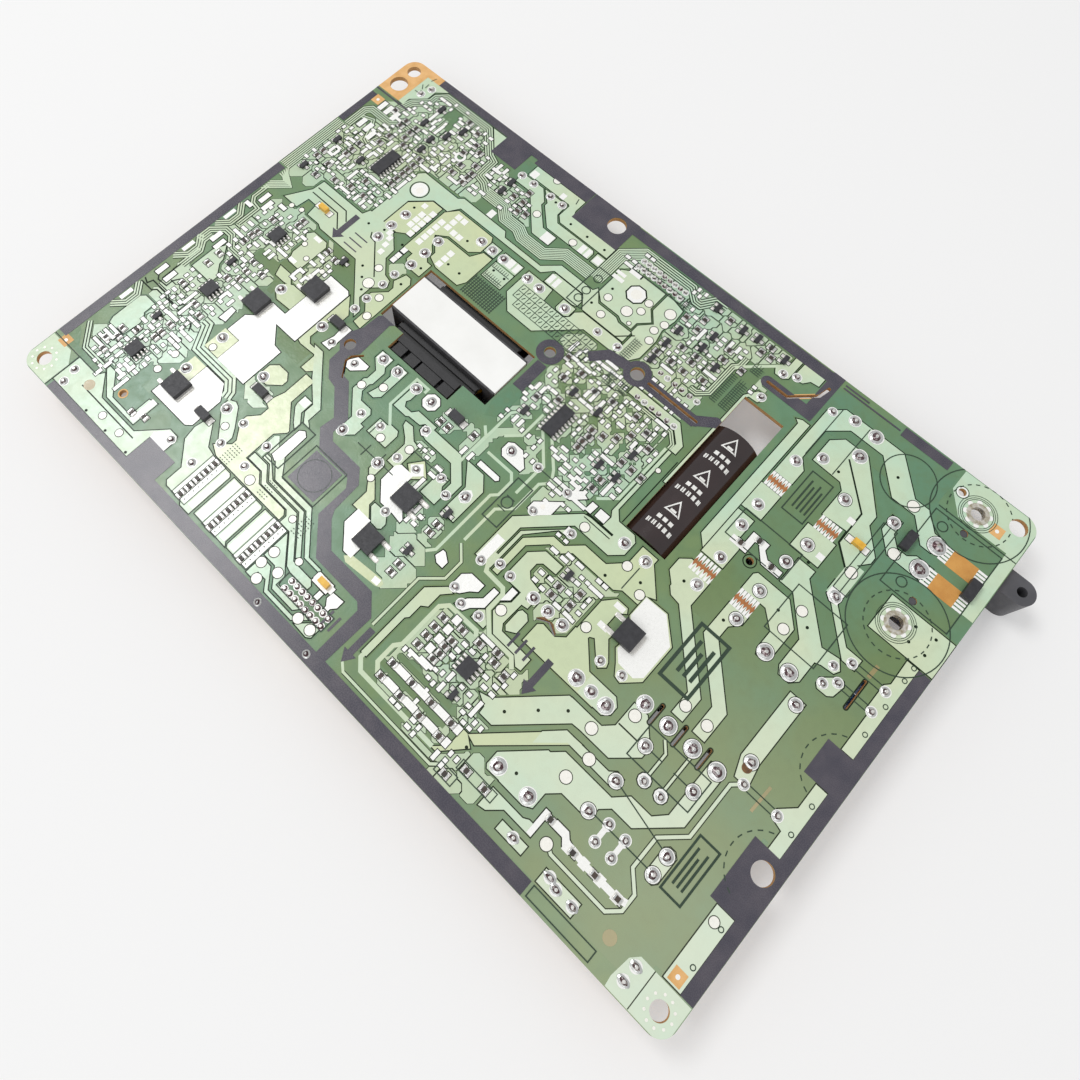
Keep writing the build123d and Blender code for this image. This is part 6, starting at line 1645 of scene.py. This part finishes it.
def object_from(name, points, faces, material, slot, smooth=False):
    """A mesh object that rides on the object; its `slot` argument is not used."""
    mesh = bpy.data.meshes.new(name)
    mesh.from_pydata(points, [], faces)
    mesh.update()
    if smooth:
        mesh.polygons.foreach_set("use_smooth", [True] * len(mesh.polygons))
    made = bpy.data.objects.new(name, mesh)
    bpy.context.scene.collection.objects.link(made)
    mesh.materials.append(material)
    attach(made, "root")
    return made


def stacked(outlines):
    """A step of height for each shape; shapes that overlap take different ones."""
    nearby = {}
    steps = []
    for outline in outlines:
        x0, y0, x1, y1 = extent(outline)
        keys = [(i, j) for i in range(int(x0 // SORT_SIZE), int(x1 // SORT_SIZE) + 1)
                for j in range(int(y0 // SORT_SIZE), int(y1 // SORT_SIZE) + 1)]
        used = set()
        for key in keys:
            for (a0, b0, a1, b1), step in nearby.get(key, ()):
                if a0 < x1 and a1 > x0 and b0 < y1 and b1 > y0:
                    used.add(step)
        free = [step for step in range(SHAPE_STEPS) if step not in used]
        chosen = free[0] if free else len(steps) % SHAPE_STEPS
        steps.append(chosen)
        for key in keys:
            nearby.setdefault(key, []).append(((x0, y0, x1, y1), chosen))
    return steps


def flat_layer(layer, number):
    """All shapes of one layer as one piece, those that overlap a hair apart."""
    points = []
    faces = []
    base = LEVEL_STEP * (number + 1)
    grown = layer in ("gap", "auto")
    steps = [0] * len(layers[layer]) if grown else stacked(layers[layer])
    for outline, step in zip(layers[layer], steps):
        height = base + SHAPE_STEP * step
        for piece in clipped(outline):
            first = len(points)
            points.extend(place(x, y, height) for x, y in facing(piece))
            faces.append(tuple(range(first, first + len(piece))))
    object_from("board_" + layer, points, faces, layer_materials[layer], "board_laminate")


for number, layer in enumerate(LEVELS):
    if layers.get(layer):
        flat_layer(layer, number)

# ------------------------------------------------------------ solder
PAD_TOP = 0.085               # the foot of the solder, just above the flat tin
# the solder's profiles, from the foot up: (share of the plan, share of the rise)
CUSHION = ((1.0, 0.0), (0.86, 0.55), (0.5, 1.0))
FLANK = ((1.0, 0.0), (0.94, 0.1), (0.62, 0.3), (0.46, 0.62), (0.24, 0.92), (0.02, 1.0))
CUT_CORNER = 0.35             # share of a cushion's half side
JOINT_RISE = 0.95             # millimetres
SIDES = 20                    # of a joint
WIDE_DARK = (2, 3)            # the rows of FLANK painted dark, as reflections, on a wide joint
NARROW_DARK = (1, 2, 3, 4)    # and on a narrow one
PIN_DARK = (0, 1, 2, 3)       # and on a header's pin
WAVES = ((2, 0.1), (3, 0.07), (5, 0.05))      # unevenness: waves round a joint, their size
DRAGGED = (1.4, 0.8)          # how the solder wave drew out the joints in the near corner:
DRAGGED_FROM = 185            # right of this
DRAGGED_BELOW = 12            # and below this


def dome(points, faces, x, y, half_x, half_y, rise):
    """A low cushion of solder with cut corners."""
    first = len(points)
    plan = []
    for sx, sy in ((1, 1), (-1, 1), (-1, -1), (1, -1)):
        a = (sx * half_x, sy * half_y * (1 - CUT_CORNER))
        b = (sx * half_x * (1 - CUT_CORNER), sy * half_y)
        plan.extend((a, b) if sx * sy > 0 else (b, a))
    for share, level in CUSHION:
        for dx, dy in plan:
            points.append(place(x + dx * share, y + dy * share, PAD_TOP + rise * level))
    count = len(plan)
    for row in range(len(CUSHION) - 1):
        for k in range(count):
            n = (k + 1) % count
            a = first + row * count
            faces.append((a + k, a + n, a + count + n, a + count + k))
    top = first + (len(CUSHION) - 1) * count
    faces.append(tuple(range(top, top + count)))


def cone(x, y, foot, bright, dark, dice, stretch=(1, 1), shaded=WIDE_DARK):
    """A soldered lead: a bright uneven foot, a steep part painted darker as dark reflections, and a
    bright tip.
    """
    lean = (dice.uniform(-0.2, 0.2) * foot, dice.uniform(-0.24, 0.1) * foot)
    sway = [(waves, size * dice.uniform(0.3, 1.0), dice.uniform(0, 2 * math.pi))
            for waves, size in WAVES]
    for row in range(len(FLANK) - 1):
        points, faces = dark if row in shaded else bright
        first = len(points)
        for share, level in FLANK[row:row + 2]:
            for k in range(SIDES):
                angle = 2 * math.pi * k / SIDES
                swell = 1 + sum(size * (0.5 + 2 * level) * math.sin(waves * angle + turn)
                                for waves, size, turn in sway)
                reach = foot * share * swell
                points.append(place(x + stretch[0] * reach * math.cos(angle) + lean[0] * level,
                                    y + stretch[1] * reach * math.sin(angle) + lean[1] * level,
                                    PAD_TOP + JOINT_RISE * level))
        for k in range(SIDES):
            n = (k + 1) % SIDES
            faces.append((first + k, first + n, first + SIDES + n, first + SIDES + k))


def painted_reflection_finish():
    """The steep side of a joint: painted dark reflections with painted bright highlights as flecks.
    """
    finish = Finish("joint_painted_reflections")
    flecks = finish.noise(1.2, detail=3.0)
    colour = finish.mix(finish.spread(flecks, 0.0, 1.0, 0.5, 0.62), srgb(92, 68, 72),
                        srgb(206, 196, 196))
    finish.link(colour, finish.shader.inputs["Base Color"])
    finish.link(finish.spread(flecks, 0.18, 0.34, 0.3, 0.7), finish.shader.inputs["Roughness"])
    finish.set("Metallic", 0.6)
    finish.bump(flecks, 0.12)
    return finish.material


def pad_solder():
    """Cushions of solder under the chips and the leads that lie flat."""
    points = []
    faces = []
    for node, margin, rise in (("chip_ends", 0.28, 0.34), ("small_transistor_leads", 0.25, 0.26),
                               ("controller_leads", 0.16, 0.14), ("power_tabs", 0.3, 0.2)):
        for plan in plans(node, margin):
            dome(points, faces, *plan, rise)
    finish = solder_finish("pad_solder", 0.3, 0.06, (246, 244, 238), 0.35, 0.4)
    object_from("pad_solder", points, faces, finish, "solder", True)


def lead_solder():
    """Joints of the leads that come through the board, each of two pieces' faces."""
    dice = random.Random(3)
    bright = ([], [])
    dark = ([], [])
    pins = header_pins()
    for x, y, foot, _ in plans("solder_joints"):
        dragged = x > DRAGGED_FROM and y < DRAGGED_BELOW
        shaded = WIDE_DARK if foot > WIDE_FOOT else NARROW_DARK
        cone(x, y, foot, bright, dark, dice, DRAGGED if dragged else (1, 1),
             PIN_DARK if (x, y) in pins else shaded)
    for x, y, foot in LOOSE_JOINTS:
        cone(x, y, foot, bright, dark, dice)
    made = object_from("soldered_leads", *bright, materials["solder"], "solder", True)
    # the steep rows, painted with dark reflections and flecks of painted highlight
    object_from("joint_painted_reflections", *dark, painted_reflection_finish(), "solder", True)
    return made


pad_solder()
joints = lead_solder()
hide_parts("solder_joints")

# ------------------------------------------------------------ marks on the large capacitor
MARK_STARTS = (6.2, 18.6, 31.0)       # millimetres along the sleeve


def sleeve_marks():
    """Plain white figures, three times along the sleeve."""
    low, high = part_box("main_capacitor_sleeve")
    radius = (high.z - low.z) / 2 / MM
    centre_x = (low.x + high.x) / 2
    centre_z = (low.z + high.z) / 2
    points = []
    faces = []

    def on_sleeve(across, along):
        """A place by millimetres round the sleeve and along it."""
        angle = across / radius
        reach = (radius + 0.02) * MM
        return (centre_x + reach * math.sin(angle), low.y + along * MM,
                centre_z + reach * math.cos(angle))

    def patch(outline):
        """One face on the sleeve."""
        first = len(points)
        points.extend(on_sleeve(*point) for point in outline)
        faces.append(tuple(range(first, first + len(outline))))

    def bar(x0, y0, x1, y1):
        """A rectangle that bends with the sleeve."""
        steps = max(1, int(abs(x1 - x0) / 0.6))
        for k in range(steps):
            a = x0 + (x1 - x0) * k / steps
            b = x0 + (x1 - x0) * (k + 1) / steps
            patch([(a, y0), (b, y0), (b, y1), (a, y1)])

    for start in MARK_STARTS:
        for k in range(3):                                # a triangle in outline
            a = math.radians(90 + 120 * k)
            b = math.radians(210 + 120 * k)
            for step in range(6):
                s, t = step / 6, (step + 1) / 6
                ring_points = []
                for share, size in ((s, 3.0), (t, 3.0), (t, 2.2), (s, 2.2)):
                    ax, ay = size * math.cos(a), size * math.sin(a)
                    bx, by = size * math.cos(b), size * math.sin(b)
                    ring_points.append((ax + (bx - ax) * share,
                                        start + 5.6 + ay + (by - ay) * share))
                patch(ring_points[::-1])
        bar(-0.9, start + 4.6, 0.9, start + 5.3)
        for k in range(3):
            bar(-2.6 + 1.9 * k, start + 0.9, -1.3 + 1.9 * k, start + 2.1)
        for k in range(5):
            bar(-4.3 + 1.8 * k, start - 1.6, -3.2 + 1.8 * k, start - 0.2)
    object_from("capacitor_marks", points, faces, layer_materials["white_print"],
                "sleeve_brown", True)


sleeve_marks()


# ------------------------------------------------------------ floor, light and camera
FLOOR_GLOW = 0.24             # share of the floor's paleness that no shadow dims
FLOOR_SIZE = 6.0              # metres from the middle to each side
# the lamps: name, place, what it is aimed at, watts, width in metres
LAMPS = (("key", (-0.86, -0.06, 1.6), (-0.05, 0.0, 0.0), 11.6, 0.62),
         ("fill", (0.5, -1.1, 1.4), (0.1, 0.0, 0.0), 6.2, 1.3))


def floor_finish():
    """Pale and dull, with a glow that only the camera sees."""
    finish = Finish("pale_floor")
    finish.tree.nodes.remove(finish.where.node)
    finish.set("Base Color", srgb(244, 244, 243))
    finish.set("Roughness", 0.9)
    finish.set("Specular IOR Level", 0.1)
    seen = finish.node("ShaderNodeLightPath")
    glow = finish.node("ShaderNodeEmission")
    glow.inputs["Color"].default_value = srgb(241, 241, 242)
    share = finish.node("ShaderNodeMath", operation="MULTIPLY")
    share.inputs[1].default_value = FLOOR_GLOW
    blend = finish.node("ShaderNodeMixShader")
    finish.link(seen.outputs["Is Camera Ray"], share.inputs[0])
    finish.link(share.outputs["Value"], blend.inputs[0])
    finish.link(finish.shader.outputs["BSDF"], blend.inputs[1])
    finish.link(glow.outputs["Emission"], blend.inputs[2])
    finish.link(blend.outputs["Shader"], finish.tree.nodes["Material Output"].inputs["Surface"])
    return finish.material


def floor():
    """A plain pale floor under the object."""
    mesh = bpy.data.meshes.new("floor")
    square = corners(-FLOOR_SIZE, -FLOOR_SIZE, FLOOR_SIZE, FLOOR_SIZE)
    mesh.from_pydata([(x, y, 0) for x, y in square], [], [(0, 1, 2, 3)])
    ground = bpy.data.objects.new("floor", mesh)
    mesh.materials.append(floor_finish())
    bpy.context.scene.collection.objects.link(ground)


def sky():
    """Soft, even light from all sides."""
    world = bpy.data.worlds.new("studio")
    world.use_nodes = True
    background = world.node_tree.nodes["Background"]
    background.inputs["Color"].default_value = srgb(247, 247, 248)
    background.inputs["Strength"].default_value = 0.64
    bpy.context.scene.world = world


def lamps():
    """Two wide lamps: the key from the left and a fill from the front."""
    for name, spot, aim, energy, width in LAMPS:
        data = bpy.data.lights.new(name, "AREA")
        data.energy = energy
        data.size = width
        lamp = bpy.data.objects.new(name, data)
        lamp.location = spot
        lamp.rotation_euler = (Vector(aim) - Vector(spot)).to_track_quat("-Z", "Y").to_euler()
        bpy.context.scene.collection.objects.link(lamp)


EYE = (0.05491, -0.07192, 0.24786)            # metres
AIM = (-0.01799, 0.00403, 0.0146)
LENS_SHIFT = (0.0503, -0.1299)                # in picture widths


def camera():
    """The photograph's view: from the front right corner, looking steeply down."""
    data = bpy.data.cameras.new("camera")
    data.lens = 30.0
    data.sensor_width = 36.0
    data.shift_x, data.shift_y = LENS_SHIFT
    data.clip_start = 0.01
    eye = bpy.data.objects.new("camera", data)
    eye.location = EYE
    eye.rotation_euler = (Vector(AIM) - Vector(EYE)).to_track_quat("-Z", "Y").to_euler()
    bpy.context.scene.collection.objects.link(eye)
    bpy.context.scene.camera = eye


floor()
sky()
lamps()
camera()
bpy.context.scene.view_settings.view_transform = "Standard"
